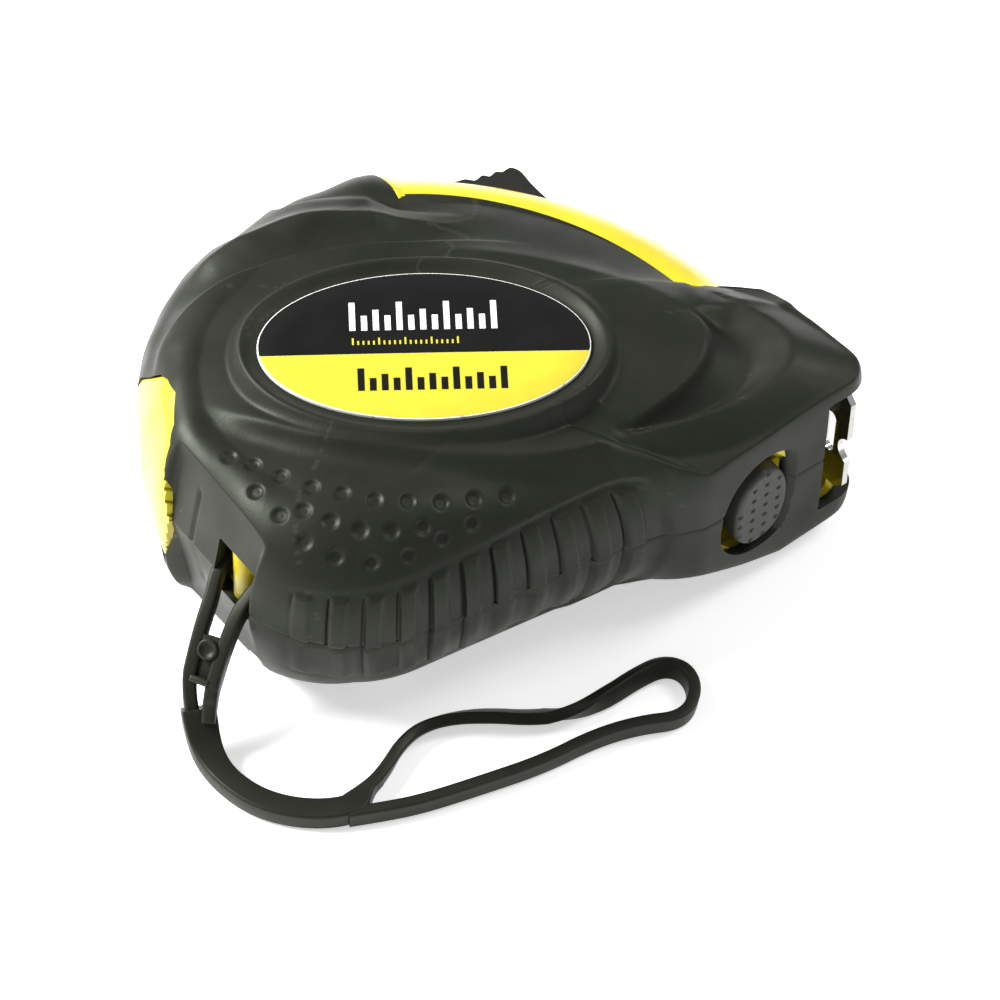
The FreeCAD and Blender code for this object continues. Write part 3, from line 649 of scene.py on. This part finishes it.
def blurred(z, times):
    """Evens out a closed grid of heights a little, along and across."""
    for _ in range(times):
        z = 0.5 * z + 0.25 * (np.roll(z, 1, axis=1) + np.roll(z, -1, axis=1))
        z[1:-1] = 0.5 * z[1:-1] + 0.25 * (z[:-2] + z[2:])
    return z


def sculpt(x, y, h):
    """Moulded relief of the label side: the height above the seam of every grid point."""
    z = h.copy()
    top = smoothstep(7.0, 11.0, h)
    label = from_label(x, y)
    d, t = from_line(x, y, CREASE_C)
    z += top * 0.9 * bell(d, 2.8, 1.0) * ends(t, 0.2, 0.12)
    z -= top * 0.55 * step(-d, 2.6, 7.0) * ends(t, 0.15, 0.2)
    d, t = from_line(x, y, CREASE_B)
    z -= top * 1.1 * step(d, 0.5, 6.5) * ends(t, 0.08, 0.4)
    z += top * 0.3 * bell(d, 0.5, 2.0) * ends(t, 0.08, 0.4)
    d, t = from_line(x, y, CREASE_A)
    z += top * 1.1 * bell(d, 1.2, 3.2) * ends(t, 0.12, 0.35)
    d, t = from_line(x, y, CREASE_LOBE)
    z -= smoothstep(4, 8, h) * bell(d, 2.6, 0.9) * ends(t, 0.05, 0.45)
    d, t = from_line(x, y, RIDGE_F)
    z += top * 0.65 * bell(d, 2.0, 4.0) * ends(t, 0.35, 0.08)
    # nose: the disc's edge falls into a valley, and a bowl rises again to a crest
    edge, t = from_line(x, y, DISC_EDGE)
    valley, _ = from_line(x, y, CRESCENT_1)
    crest, _ = from_line(x, y, CRESCENT_2)
    fall = np.clip(edge / np.maximum(edge - valley, 0.05), 0, 1)
    rise = np.clip(valley / np.maximum(valley - crest, 0.05), 0, 1)
    deep = smoothstep(0.0, 0.12, t) * (1 - smoothstep(0.55, 0.95, t))
    basin = np.where(valley < 0, fall ** 0.65, 1 - smoothstep(0.0, 1.0, rise))
    z -= top * deep * 1.9 * np.where(edge > 0, basin, 0.0)
    z += top * deep * 0.6 * bell(crest, 3.0, 1.0)
    z += top * deep * 0.3 * bell(edge, 0.3, 1.6)
    d, t = from_line(x, y, NOSE_BEVEL)
    z += top * 0.6 * bell(d, 2.4, 1.2) * smoothstep(0.0, 0.15, t)
    # dish and ring round the label
    dish = DISH_Z - SEAM_Z + 0.95 * smoothstep(0.15, 2.3, label)
    near = 1 - smoothstep(2.0, 3.6, label)
    z = z * (1 - near) + dish * near
    z -= 0.14 * np.exp(-((label - 2.6) / 0.3) ** 2)
    return blurred(z, 2)


def outward(points):
    """Unit normals of a closed grid, pointing away from the middle of the case; heights are from the seam."""
    across = np.roll(points, -1, axis=1) - np.roll(points, 1, axis=1)
    normal = np.cross(across, np.gradient(points, axis=0))
    normal /= np.linalg.norm(normal, axis=-1)[..., None] + 1e-9
    away = points - np.append(CENTRE, 0.0)
    return normal * np.where((normal * away).sum(-1) < 0, -1.0, 1.0)[..., None]


def panel_depth(angle, h, x):
    """Depth of the sunken grip panel along the near side, and of the grooves beside its ribs."""
    upper_edge = np.interp(x, [-33, -20, -10, 0, 6, 12], [7.4, 8.4, 8.6, 9.2, 9.8, 9.6])
    right_end = 1 - smoothstep(11.8, 13.4, x + 0.022 * h ** 2)
    left_end = smoothstep(-33.4, -30.5, x)
    inside = (1 - smoothstep(-0.5, 0.5, np.abs(h) - upper_edge)) * right_end * left_end
    sunk = np.interp(x, [-14, 2], [0.12, 0.5])
    depth = sunk * inside
    for rib_x, rib_y in RIBS:
        centre = math.degrees(math.atan2(rib_y - CENTRE[1], rib_x - CENTRE[0]))
        across = (((angle - centre) + 180) % 360 - 180) * math.pi / 180 * math.hypot(rib_x, rib_y - CENTRE[1])
        rib_top = np.interp(rib_x, [-32, -18, 9], [6.9, 7.6, 8.6])
        tall = 1 - smoothstep(-0.15, 0.25, np.abs(h) - rib_top)
        rib = smoothstep(-1.35, -1.05, across) * (1 - smoothstep(0.75, 1.15, across))
        groove = np.exp(-((across + 1.35) / 0.22) ** 2)
        depth = depth - 0.42 * inside * rib * tall + 0.3 * groove * tall * inside
    return depth


SEAM_DEEP = 0.22
SEAM_HALF = 0.22


def seam_groove(h):
    """Depth of the narrow groove where the two covers meet."""
    return SEAM_DEEP * np.exp(-(h / SEAM_HALF) ** 2)


def facet(x, y, h):
    """Flattens the rear corner beside the strap into two planes with a crease between them."""
    plane = -33.75 + 0.185 * np.abs(h)
    flat = np.maximum(x, plane)
    span = smoothstep(-15.2, -14.2, y) * (1 - smoothstep(2.4, 3.2, y))
    crease = 0.3 * np.exp(-((y + 2.0) / 0.25) ** 2) * (1 - smoothstep(7.5, 9.5, np.abs(h)))
    return x + (flat - x) * span + crease * span


STRIP_LEFT = 12.9              # the strip's window starts at this x
STRIP_LOW = -14.2              # and ends at this y, beside the nose


def strip_keep(x, y):
    """Positive where the rubber stays, negative in the yellow strip's window."""
    radius = np.hypot(x - ARC_CENTRE[0], y - ARC_CENTRE[1])
    return np.maximum(np.maximum(BORDER_R - radius, STRIP_LEFT - x), STRIP_LOW - y)


# height of the rear inlay's border from the seam, by direction from the centre
INLAY_BORDER = [(144.8, 0.0), (150.0, 6.4), (154.5, 9.4), (158.0, 11.6), (161.0, 12.5), (166.5, 13.0),
                (173.6, 12.3), (176.5, 10.9), (179.0, 4.8), (180.2, 0.0)]
INLAY_DEGREE = 0.55            # about the length of one degree along the case's rear


def inlay_depth(angle, h):
    """How far inside the rear inlay's border, negative outside it."""
    a = angle % 360
    border = by_direction(INLAY_BORDER, a, 1)
    first, last = INLAY_BORDER[0][0], INLAY_BORDER[-1][0]
    return np.minimum(border - np.abs(h), np.minimum(a - first, last - a) * INLAY_DEGREE)


SCREWS = [(-19.5, 19.3), (14.6, 23.9), (-19.0, -20.6), (27.0, -13.6)]
SCREW_HOLE_R = 2.75
SCREW_WALL = 1.3               # depth of a screw hole's wall, as a share of the other walls'


def from_screw(x, y):
    """Distance outside the nearest screw hole's edge."""
    return np.min([np.hypot(x - sx, y - sy) - SCREW_HOLE_R for sx, sy in SCREWS], axis=0)


# windows for the strap: half height, y of the middle, half width, last x
RUBBER_POCKET = (5.0, -10.7, 3.9, -26.0)
SHELL_POCKET = (7.4, -10.5, 6.4, -24.0)
# windows for the blade: half height, first x, highest y; the shells' is wide enough for the blade to pass
RUBBER_MOUTH = (9.85, 34.9, -26.4)
SHELL_MOUTH = (11.9, 34.4, -25.2)


def pocket_keep(x, y, h, window):
    """Positive outside the strap's window in the rear."""
    tall, middle, wide, last = window
    return np.maximum(np.maximum(np.abs(h) - tall, np.abs(y - middle) - wide), x - last)


def mouth_keep(x, y, h, window):
    """Positive outside the blade's window in the nose."""
    tall, first, highest = window
    return np.maximum(np.maximum(np.abs(h) - tall, first - x), y - highest)


# the brake button's outline and the holes for it, as x and z of a few points that a smooth curve runs near
LEAF = [(21.7, 11.2), (23.0, 8.8), (24.9, 8.0), (28.1, 9.1), (29.6, 13.2), (29.4, 17.2), (27.7, 20.7),
        (24.7, 21.0), (22.6, 18.9), (21.6, 15.2)]
LEAF_CENTRE = (25.3, 14.9)
LEAF_HOLE = [(28.4, 23.5), (30.4, 22.4), (30.6, 16.8), (29.8, 8.6), (26.0, 6.6), (22.1, 7.3), (19.3, 11.0),
             (19.3, 17.0), (21.4, 22.0), (25.3, 24.3)]
SHELL_HOLE = [(20.9, 9.4), (23.4, 6.0), (28.4, 6.0), (31.6, 9.0), (31.6, 17.0), (30.2, 19.4), (28.2, 21.8),
              (25.2, 25.0), (20.4, 23.4), (18.3, 18.0), (18.3, 12.0)]
UNDERSIDE_Y = -33.0            # the nose's underside lies below this


def closed_curve(points, count):
    """Smooth closed curve near a few points."""
    ring = np.array(points, float)
    for _ in range(4):
        following = np.roll(ring, -1, axis=0)
        ring = np.stack([0.75 * ring + 0.25 * following, 0.25 * ring + 0.75 * following], 1).reshape(-1, 2)
    ring = np.vstack([ring, ring[:1]])
    along = np.concatenate([[0], np.cumsum(np.linalg.norm(np.diff(ring, axis=0), axis=1))])
    at = np.arange(count) * along[-1] / count
    return np.stack([np.interp(at, along, ring[:, i]) for i in (0, 1)], 1)


def inside_curve(px, pz, points):
    """Signed distance from a closed curve, negative inside."""
    ring = closed_curve(points, 120)
    following = np.roll(ring, -1, axis=0)
    best = np.full(px.shape, 1e9)
    inside = np.zeros(px.shape, bool)
    for (ax, az), (bx, bz) in zip(ring, following):
        t = np.clip(((px - ax) * (bx - ax) + (pz - az) * (bz - az)) / ((bx - ax) ** 2 + (bz - az) ** 2), 0, 1)
        best = np.minimum(best, np.hypot(px - ax - t * (bx - ax), pz - az - t * (bz - az)))
        if az != bz:
            inside ^= ((az > pz) != (bz > pz)) & (px < ax + (pz - az) / (bz - az) * (bx - ax))
    return np.where(inside, -best, best)


def leaf_keep(x, y, z, hole):
    """Positive away from the brake button's hole in the nose's underside."""
    return np.where(y < UNDERSIDE_Y, inside_curve(x, z, hole), 5.0)


def under_nose(angle):
    """Height of the lower half's edge, measured down from the seam."""
    return by_direction(NOSE_UNDER, angle, 1)


def to_centre(x, y):
    """Unit vectors from every grid point towards the middle of the case, seen from above."""
    way = CENTRE - np.stack([x, y], -1)
    return np.moveaxis(way / (np.linalg.norm(way, axis=-1)[..., None] + 1e-9), -1, 0)


def screws_cut(x, y, h, keep):
    """Takes the screw holes out of the lower half's flat side."""
    return np.where(h > 6, np.minimum(keep, from_screw(x, y)), keep)


def cut_half(x, y, z, keep, upper, wall, lean):
    """Cuts the windows out of half a case, and adds a wall of that depth and lean round every opening."""
    verts = np.stack([x, y, z], -1).reshape(-1, 3)
    faces = grid_faces(*x.shape, closed=True)
    if not upper:
        faces = [f[::-1] for f in faces]
    verts, faces = tidy_mesh(*clip(verts, faces, keep.reshape(-1)))

    def inward(v):
        way = (np.append(CENTRE, SEAM_Z) - v) * (1, 1, lean)
        way /= np.linalg.norm(way, axis=1)[:, None]
        round_a_screw = (from_screw(v[:, 0], v[:, 1]) < 0.2) & (v[:, 2] < 10)
        way[round_a_screw] = (0, 0, SCREW_WALL)
        return v + wall * way

    return rim(verts, faces, inward)


def dimpled(x, y, z):
    """Presses the dimples into the surface."""
    surface = np.stack([x, y, z], -1)
    dent = np.zeros(x.shape)
    for dimple_x, dimple_y, dimple_z in DIMPLES:
        r = np.linalg.norm(surface - (dimple_x, dimple_y, dimple_z - SEAM_Z), axis=-1)
        dent = np.maximum(dent, DIMPLE_DEEP * (1 - smoothstep(0.55, 1.08, r / DIMPLE_R)))
    return np.moveaxis(surface - outward(surface) * dent[..., None], -1, 0)


FINE = (960, 96, 150)          # columns, rows up the wall, rows on the flat
COARSE = (480, 56, 24)
SHELL_GRID = (720, 80, 10)
HALVES = ((True, "label_side", "upper"), (False, "back", "lower"))
SHELL_INSET = 1.45             # how far the shell lies inside the rubber's surface
INLAY_RISE = 1.20              # how much of that the rear inlay makes up
INLAY_SWELL = 0.20             # and how much more it stands out away from its border
STRIP_INSET = 0.25             # the strip lies only this far inside
SHELL_LOW = 0.35               # how far the shell's flat lies below the rubber's where it shows
SHELL_LOWER = 1.6              # and how much further where it is covered


def rubber_half(upper):
    """One rubber cover: the relief, then the windows cut out, then a wall round every opening."""
    if upper:
        x, y, h, angle = case_grid(*FINE)
        z = sculpt(x, y, h)
    else:
        x, y, h, angle = case_grid(*COARSE, crown=SEAM_Z, reach=9.0, low=under_nose)
        h = np.maximum(h, 0.0)
        z = h.copy()
    way_x, way_y = to_centre(x, y)
    push = panel_depth(angle, h, x) * (y < -10) + seam_groove(h) * (1 - smoothstep(8.0, 13.0, h))
    x, y = x + way_x * push, y + way_y * push
    x = facet(x, y, h)
    if upper:
        x, y, z = dimpled(x, y, z)
    keep = np.minimum(strip_keep(x, y), -inlay_depth(angle, h))
    keep = np.minimum(keep, pocket_keep(x, y, h, RUBBER_POCKET))
    keep = np.minimum(keep, mouth_keep(x, y, h, RUBBER_MOUTH))
    if not upper:
        keep = screws_cut(x, y, h, keep)
    z = SEAM_Z + (z if upper else -z)
    keep = np.minimum(keep, leaf_keep(x, y, z, LEAF_HOLE))
    return cut_half(x, y, z, keep, upper, wall=1.8, lean=0.6)


def shell_half(upper):
    """Yellow shell just under the rubber: flush in the strip's window and proud in the rear inlay's."""
    kind = {} if upper else {"low": lambda angle: np.minimum(under_nose(angle) - 0.4, 14.6)}
    x, y, h, angle = case_grid(*SHELL_GRID, reach=14.0, **kind)
    depth = inlay_depth(angle, h)
    proud = smoothstep(-0.6, 0.0, depth)
    strip = 1 - smoothstep(0.2, 1.6, strip_keep(x, y))
    push = SHELL_INSET - INLAY_RISE * proud - INLAY_SWELL * smoothstep(0.0, 1.3, depth)
    push = push * (1 - strip) + STRIP_INSET * strip
    z = np.maximum(h - SHELL_LOW - SHELL_LOWER * (1 - strip) * (1 - proud), 0.02 * h)
    keep = np.minimum(mouth_keep(x, y, h, SHELL_MOUTH), pocket_keep(x, y, h, SHELL_POCKET))
    if not upper:
        keep = screws_cut(x, y, h, keep)
    way_x, way_y = to_centre(x, y)
    x, y = x + way_x * push, y + way_y * push
    x = x * proud + np.maximum(x, facet(x, y, h) + 0.5) * (1 - proud)
    z = SEAM_Z + (z if upper else -z)
    keep = np.minimum(keep, leaf_keep(x, y, z, SHELL_HOLE))
    return cut_half(x, y, z, keep, upper, wall=1.6, lean=0.4)


for upper, side, which in HALVES:
    mesh("rubber_cover_" + side, *rubber_half(upper), RUBBER, "case", sharp=58, node="grip_cover_" + which,
         slot="black_rubber")
for upper, side, which in HALVES:
    mesh("yellow_shell_" + side, *shell_half(upper), YELLOW, "case", sharp=38, node="case_" + which,
         slot="yellow_abs")

POST_AT = (-30.6, -8.8)
POST_R = 1.5
HOLLOW_HALF = 6.6              # half height of the hollow round the post
HOLLOW_R = (6.3, 5.4)          # the lining's outer and inner radius
HOLLOW_TURN = 76               # the lining reaches this many degrees each way
HOLLOW_STEPS = 40


def pocket_lining():
    """Yellow wall of the hollow round the strap post, seen through the rubber's opening."""
    outer, inner = HOLLOW_R
    low, high = SEAM_Z - HOLLOW_HALF, SEAM_Z + HOLLOW_HALF
    verts = []
    for i in range(HOLLOW_STEPS + 1):
        a = math.radians(HOLLOW_TURN * (2 * i / HOLLOW_STEPS - 1))
        for radius, z in ((outer, low), (inner, low), (inner, high), (outer, high)):
            verts.append((POST_AT[0] + radius * math.cos(a), POST_AT[1] + radius * math.sin(a), z))
    return np.array(verts), grid_faces(HOLLOW_STEPS + 1, 4, closed=True)


mesh("strap_pocket_lining", *pocket_lining(), YELLOW, "case", sharp=40, slot="yellow_abs")
post_profile = [(POST_R, -HOLLOW_HALF), (POST_R, HOLLOW_HALF)]
mesh("strap_post", *revolve(post_profile, (*POST_AT, SEAM_Z), (0, 0, 1)), YELLOW, "case", sharp=40,
     slot="yellow_abs")


# ---------------------------------------------------------------- label
LABEL_BASE = 32.42
LABEL_TOP = 32.86
LABEL_DOME = 0.10              # the badge's middle is this much higher than its edge
DIVIDE_V = -1.3                # the black and yellow prints meet here, across the badge
PRINT = 0.03                   # thickness of the print


def label_point(u, v, z):
    """A point on the domed badge, from its place along the badge's long and short axes."""
    c, s = math.cos(LABEL_TURN), math.sin(LABEL_TURN)
    dome = LABEL_DOME * (1 - (u / LABEL_LONG) ** 2 - (v / LABEL_SHORT) ** 2)
    return (LABEL_AT[0] + c * u - s * v, LABEL_AT[1] + s * u + c * v, z + dome)


def badge(shrink, low, high, edge, count=180, keep=None):
    """Oval plate with a rounded upper edge; keep(v) chooses the part of it that stays."""
    rings = [(shrink, low), (shrink, high - edge), (shrink + 0.3 * edge, high - 0.3 * edge),
             (shrink + edge, high)]
    rings += [(shrink + edge + (LABEL_SHORT - shrink - edge) * f, high) for f in (0.3, 0.6, 0.97)]
    verts = []
    for inset, z in rings:
        for i in range(count):
            a = 2 * math.pi * i / count
            u, v = (LABEL_LONG - inset) * math.cos(a), (LABEL_SHORT - inset) * math.sin(a)
            verts.append(label_point(u, v, z))
    faces = grid_faces(len(rings), count, closed=True)
    faces.append(tuple((len(rings) - 1) * count + i for i in range(count)))
    verts = np.array(verts)
    if keep is not None:
        u, v = label_frame(verts[:, 0], verts[:, 1])
        verts, faces = clip(verts, faces, keep(v))
    return tidy_mesh(verts, faces)


def printed(name, colour, wear_colour, wear):
    """Satin print with faint mottling and small worn specks."""
    mat = material(name, colour, 0.42, specular=0.3)
    n = Nodes(mat)
    mottle = n.ramp(n.noise(240.0, 4.0, 0.6), [(0.35, 0.0), (0.75, 1.0)])
    body = n.mix(mottle, colour, tuple(0.88 * c for c in colour))
    worn = n.ramp(n.noise(800.0, 5.0, 0.7), [(wear, 0.0), (wear + 0.05, 1.0)])
    n.finish(n.mix(worn, body, wear_colour), n.ramp(mottle, [(0.0, 0.30), (1.0, 0.42)]),
             n.bump(n.noise(1500.0, 2.0, 0.5), 0.08, 0.00003))
    return mat


PRINT_YELLOW = printed("label_yellow", (0.64, 0.545, 0.040), (0.96, 0.92, 0.55), 0.72)
PRINT_BLACK = printed("label_black", (0.0045, 0.0052, 0.0045), (0.12, 0.12, 0.11), 0.78)
PRINT_WHITE = printed("label_white", (0.86, 0.86, 0.82), (0.45, 0.45, 0.42), 0.60)


def print_half(name, mat, keep):
    shape = badge(0.17, LABEL_TOP - 0.1, LABEL_TOP + PRINT, 0.02, keep=keep)
    mesh(name, *shape, mat, "case", sharp=40, slot="label")


mesh("label_badge", *badge(0.0, LABEL_BASE, LABEL_TOP, 0.14), PRINT_WHITE, "case", sharp=40,
     node="label_plate", slot="label")
print_half("label_print_yellow", PRINT_YELLOW, lambda v: DIVIDE_V - v)
print_half("label_print_black", PRINT_BLACK, lambda v: v - DIVIDE_V - 0.04)


BOX_FACES = ((3, 2, 1, 0), (4, 5, 6, 7), (0, 1, 5, 4), (1, 2, 6, 5), (2, 3, 7, 6), (3, 0, 4, 7))


def tick_row(name, mat, first, last, step, foot, heights, thick):
    """A plain printed scale: one bar every step, its height taken in turn from heights."""
    verts, faces = [], []
    for i in range(int((last - first) / step) + 1):
        u, tall = first + i * step, heights[i % len(heights)]
        base = len(verts)
        for z in (LABEL_TOP, LABEL_TOP + 2 * PRINT):
            for side, v in ((-1, foot), (1, foot), (1, foot + tall), (-1, foot + tall)):
                verts.append(label_point(u + side * thick / 2, v, z))
        faces += [tuple(base + k for k in f) for f in BOX_FACES]
    mesh(name, verts, faces, mat, "case", slot="label")


tick_row("label_scale_white", PRINT_WHITE, -8.4, 8.5, 1.4, 2.3, (4.4, 2.3, 3.2, 2.3), 0.72)
tick_row("label_scale_fine", PRINT_YELLOW, -8.4, 4.3, 0.62, 0.1, (1.05, 0.6, 0.6, 0.6, 0.6), 0.22)
tick_row("label_scale_black", PRINT_BLACK, -7.6, 9.3, 1.4, -6.9, (3.4, 1.9, 2.5, 1.9), 0.80)


# ---------------------------------------------------------------- thumb lock
# degrees and radius about the arc's centre, along the thumb lock's stepped back
LOCK_BACK = [(49.4, 50.1), (47.6, 50.2), (46.7, 50.4), (45.6, 51.0), (44.9, 50.95), (44.0, 50.9),
             (43.4, 52.0), (42.8, 52.0), (42.2, 51.9), (41.7, 52.9), (41.2, 53.0), (40.7, 53.0),
             (40.1, 53.9), (39.6, 54.1), (38.4, 53.8), (37.6, 53.1), (36.4, 52.1), (34.6, 51.0),
             (32.8, 50.1)]
LOCK_LOW, LOCK_HIGH = 11.3, 23.0
LOCK_FOOT = 48.8               # radius that its end faces reach in to
LOCK_ROOT = 46.0               # radius that the walls behind them reach in to
LOCK_EDGE = 0.6                # radius of its long edges


def thumb_lock():
    """The slider's stepped back, its long edges rounded off, and its two end faces."""
    back = smooth_line(LOCK_BACK, 2)
    rows = LOCK_LOW + (LOCK_HIGH - LOCK_LOW) * np.concatenate([[0], np.linspace(0, 1, 15), [1]])
    middle, half = (LOCK_LOW + LOCK_HIGH) / 2, (LOCK_HIGH - LOCK_LOW) / 2
    verts = []
    for k, z in enumerate(rows):
        edge = max(0.0, (abs(z - middle) - (half - LOCK_EDGE)) / LOCK_EDGE)
        drop = LOCK_EDGE * (1 - math.sqrt(max(0.0, 1 - edge * edge)))
        end = k in (0, len(rows) - 1)
        for degrees, radius in back:
            r = LOCK_FOOT if end else max(LOCK_FOOT, radius - drop)
            a = math.radians(degrees)
            verts.append((ARC_CENTRE[0] + r * math.cos(a), ARC_CENTRE[1] + r * math.sin(a), z))
    return np.array(verts), [f[::-1] for f in grid_faces(len(rows), len(back))]


def to_root(v):
    flat = v.copy()
    way = v[:, :2] - ARC_CENTRE
    flat[:, :2] = ARC_CENTRE + way / np.linalg.norm(way, axis=1)[:, None] * LOCK_ROOT
    return flat


mesh("thumb_lock_slider", *rim(*thumb_lock(), to_root), BLACK, "lock", sharp=32, node="thumb_lock",
     slot="black_plastic")


# ---------------------------------------------------------------- brake button
DOT_PITCH = 1.87
DOT_R = 0.30
DOT_DEEP = 0.26
DOT_COLUMNS = [(-2, -2, 3), (-1, -3, 6), (0, -3, 7), (1, -2, 5)]   # column, lowest row, rows
BUTTON_FACE = -36.35
BUTTON_EDGE = 0.75             # radius of the rounding round the face
BUTTON_WALL = 2.4
BUTTON_POINTS = 300            # points round the outline


def brake_button():
    """The button's wall, its rounded edge and its face with the small dots pressed in."""
    ring = closed_curve(LEAF, BUTTON_POINTS)
    middle = np.array(LEAF_CENTRE)
    shares = np.concatenate([[0, 0], np.linspace(0, 0.12, 10)[1:], np.linspace(0.12, 0.985, 66)[1:]])
    verts = []
    dots = [(LEAF_CENTRE[0] + 0.7 + column * DOT_PITCH, LEAF_CENTRE[1] + (low + row) * DOT_PITCH)
            for column, low, rows in DOT_COLUMNS for row in range(rows)]
    for k, share in enumerate(shares):
        at = ring + (middle - ring) * share
        inset = share * np.linalg.norm(middle - ring, axis=1)
        drop = BUTTON_EDGE * (1 - np.sqrt(np.clip(1 - (1 - np.clip(inset / BUTTON_EDGE, 0, 1)) ** 2, 0, 1)))
        depth = BUTTON_FACE + drop + (BUTTON_WALL if k == 0 else 0.0)
        for dx, dz in dots:
            away = np.hypot(at[:, 0] - dx, at[:, 1] - dz)
            depth = depth + DOT_DEEP * (1 - smoothstep(0.7, 1.35, away / DOT_R))
        verts.append(np.stack([at[:, 0], depth, at[:, 1]], 1))
    faces = grid_faces(len(shares), BUTTON_POINTS, closed=True)
    last = (len(shares) - 1) * BUTTON_POINTS
    faces.append(tuple(last + i for i in range(BUTTON_POINTS)))
    return np.vstack(verts), faces


mesh("brake_button_cap", *brake_button(), GREY, "brake", sharp=50, node="brake_button", slot="grey_plastic")


# ---------------------------------------------------------------- pieces kept from the CAD
def coat(node, mat):
    """Gives a CAD node a detailed material, without touching its mesh."""
    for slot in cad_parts[node].material_slots:
        slot.link = "OBJECT"
        slot.material = mat


def enamel():
    """Yellow blade: glossy enamel with plain black marks every millimetre, longer every five."""
    yellow = (0.93, 0.80, 0.07)
    mat = material("blade_enamel", yellow, 0.25, coat=0.5)
    n = Nodes(mat)
    x, y, z = n.split(n.place())
    along = n.math("MULTIPLY", x, 1000.0)
    fine = n.math("LESS_THAN", n.math("PINGPONG", along, 0.5), 0.10)
    coarse = n.math("LESS_THAN", n.math("PINGPONG", along, 2.5), 0.14)
    short = n.math("GREATER_THAN", z, 0.0235)
    long = n.math("GREATER_THAN", z, 0.0215)
    marks = n.math("MAXIMUM", n.math("MULTIPLY", fine, short), n.math("MULTIPLY", coarse, long))
    body = n.mix(n.ramp(n.noise(90.0, 3.0, 0.5), [(0.35, 0.0), (0.7, 1.0)]), yellow, (0.86, 0.72, 0.05))
    rough = n.ramp(n.noise(300.0, 4.0, 0.6), [(0.4, 0.22), (0.8, 0.40)])
    n.finish(n.mix(marks, body, (0.02, 0.02, 0.02)), rough, n.bump(n.noise(700.0, 2.0, 0.5), 0.08, 0.00004))
    return mat


ENAMEL = enamel()
PAD = rubber("pad_rubber", (0.026, 0.025, 0.024), (0.038, 0.036, 0.034), 0.62, 0.35)
for mat, nodes in (
        (ZINC, ("case_screws", "centre_post", "hook_rivets")), (CHROME, ("hook",)),
        (BLACK, ("spool_hub", "spool_flange_lower", "spool_flange_upper", "mouth_guide", "lock_arm")),
        (ENAMEL, ("blade_coil", "blade")), (BLUED, ("mainspring", "brake_spring")),
        (PAD, ("brake_pad", "lock_pad"))):
    for node in nodes:
        coat(node, mat)


# ---------------------------------------------------------------- floor and light
FLOOR_HALF = 3.0               # metres
FLOOR_Z = -0.00003             # just under the case, so that the two don't share a plane
floor_data = bpy.data.meshes.new("floor")
corners = [(x * FLOOR_HALF, y * FLOOR_HALF, FLOOR_Z) for x, y in ((-1, -1), (1, -1), (1, 1), (-1, 1))]
floor_data.from_pydata(corners, [], [(0, 1, 2, 3)])
floor = bpy.data.objects.new("floor", floor_data)
bpy.context.scene.collection.objects.link(floor)
FLOOR = material("floor_white", (0.93, 0.93, 0.93), 0.9, specular=0.0)
glow = FLOOR.node_tree.nodes["Principled BSDF"].inputs
glow["Emission Color"].default_value = (1, 1, 1, 1)
glow["Emission Strength"].default_value = 0.52
floor_data.materials.append(FLOOR)

world = bpy.data.worlds.new("studio")
world.use_nodes = True
tree = world.node_tree
sky = tree.nodes.new("ShaderNodeTexCoord")
parted = tree.nodes.new("ShaderNodeSeparateXYZ")
tree.links.new(sky.outputs["Generated"], parted.inputs[0])
fade = tree.nodes.new("ShaderNodeValToRGB")
for stop, (height, light) in zip(fade.color_ramp.elements, ((0.0, 0.62), (0.75, 0.26))):
    stop.position = height
    stop.color = (light, light, light, 1)
tree.links.new(parted.outputs["Z"], fade.inputs["Fac"])
tree.links.new(fade.outputs["Color"], tree.nodes["Background"].inputs["Color"])
tree.nodes["Background"].inputs["Strength"].default_value = 1.0
bpy.context.scene.world = world


def area_light(name, at, towards, size, power):
    data = bpy.data.lights.new(name, "AREA")
    data.shape = "DISK"
    data.size = size
    data.energy = power
    obj = bpy.data.objects.new(name, data)
    obj.location = at
    obj.rotation_euler = (Vector(towards) - Vector(at)).to_track_quat("-Z", "Y").to_euler()
    bpy.context.scene.collection.objects.link(obj)


area_light("key", (-0.38, 0.42, 0.50), (0, 0, 0.01), 0.36, 12.5)
area_light("front", (0.45, -0.15, 0.55), (0, 0, 0.01), 0.30, 1.8)
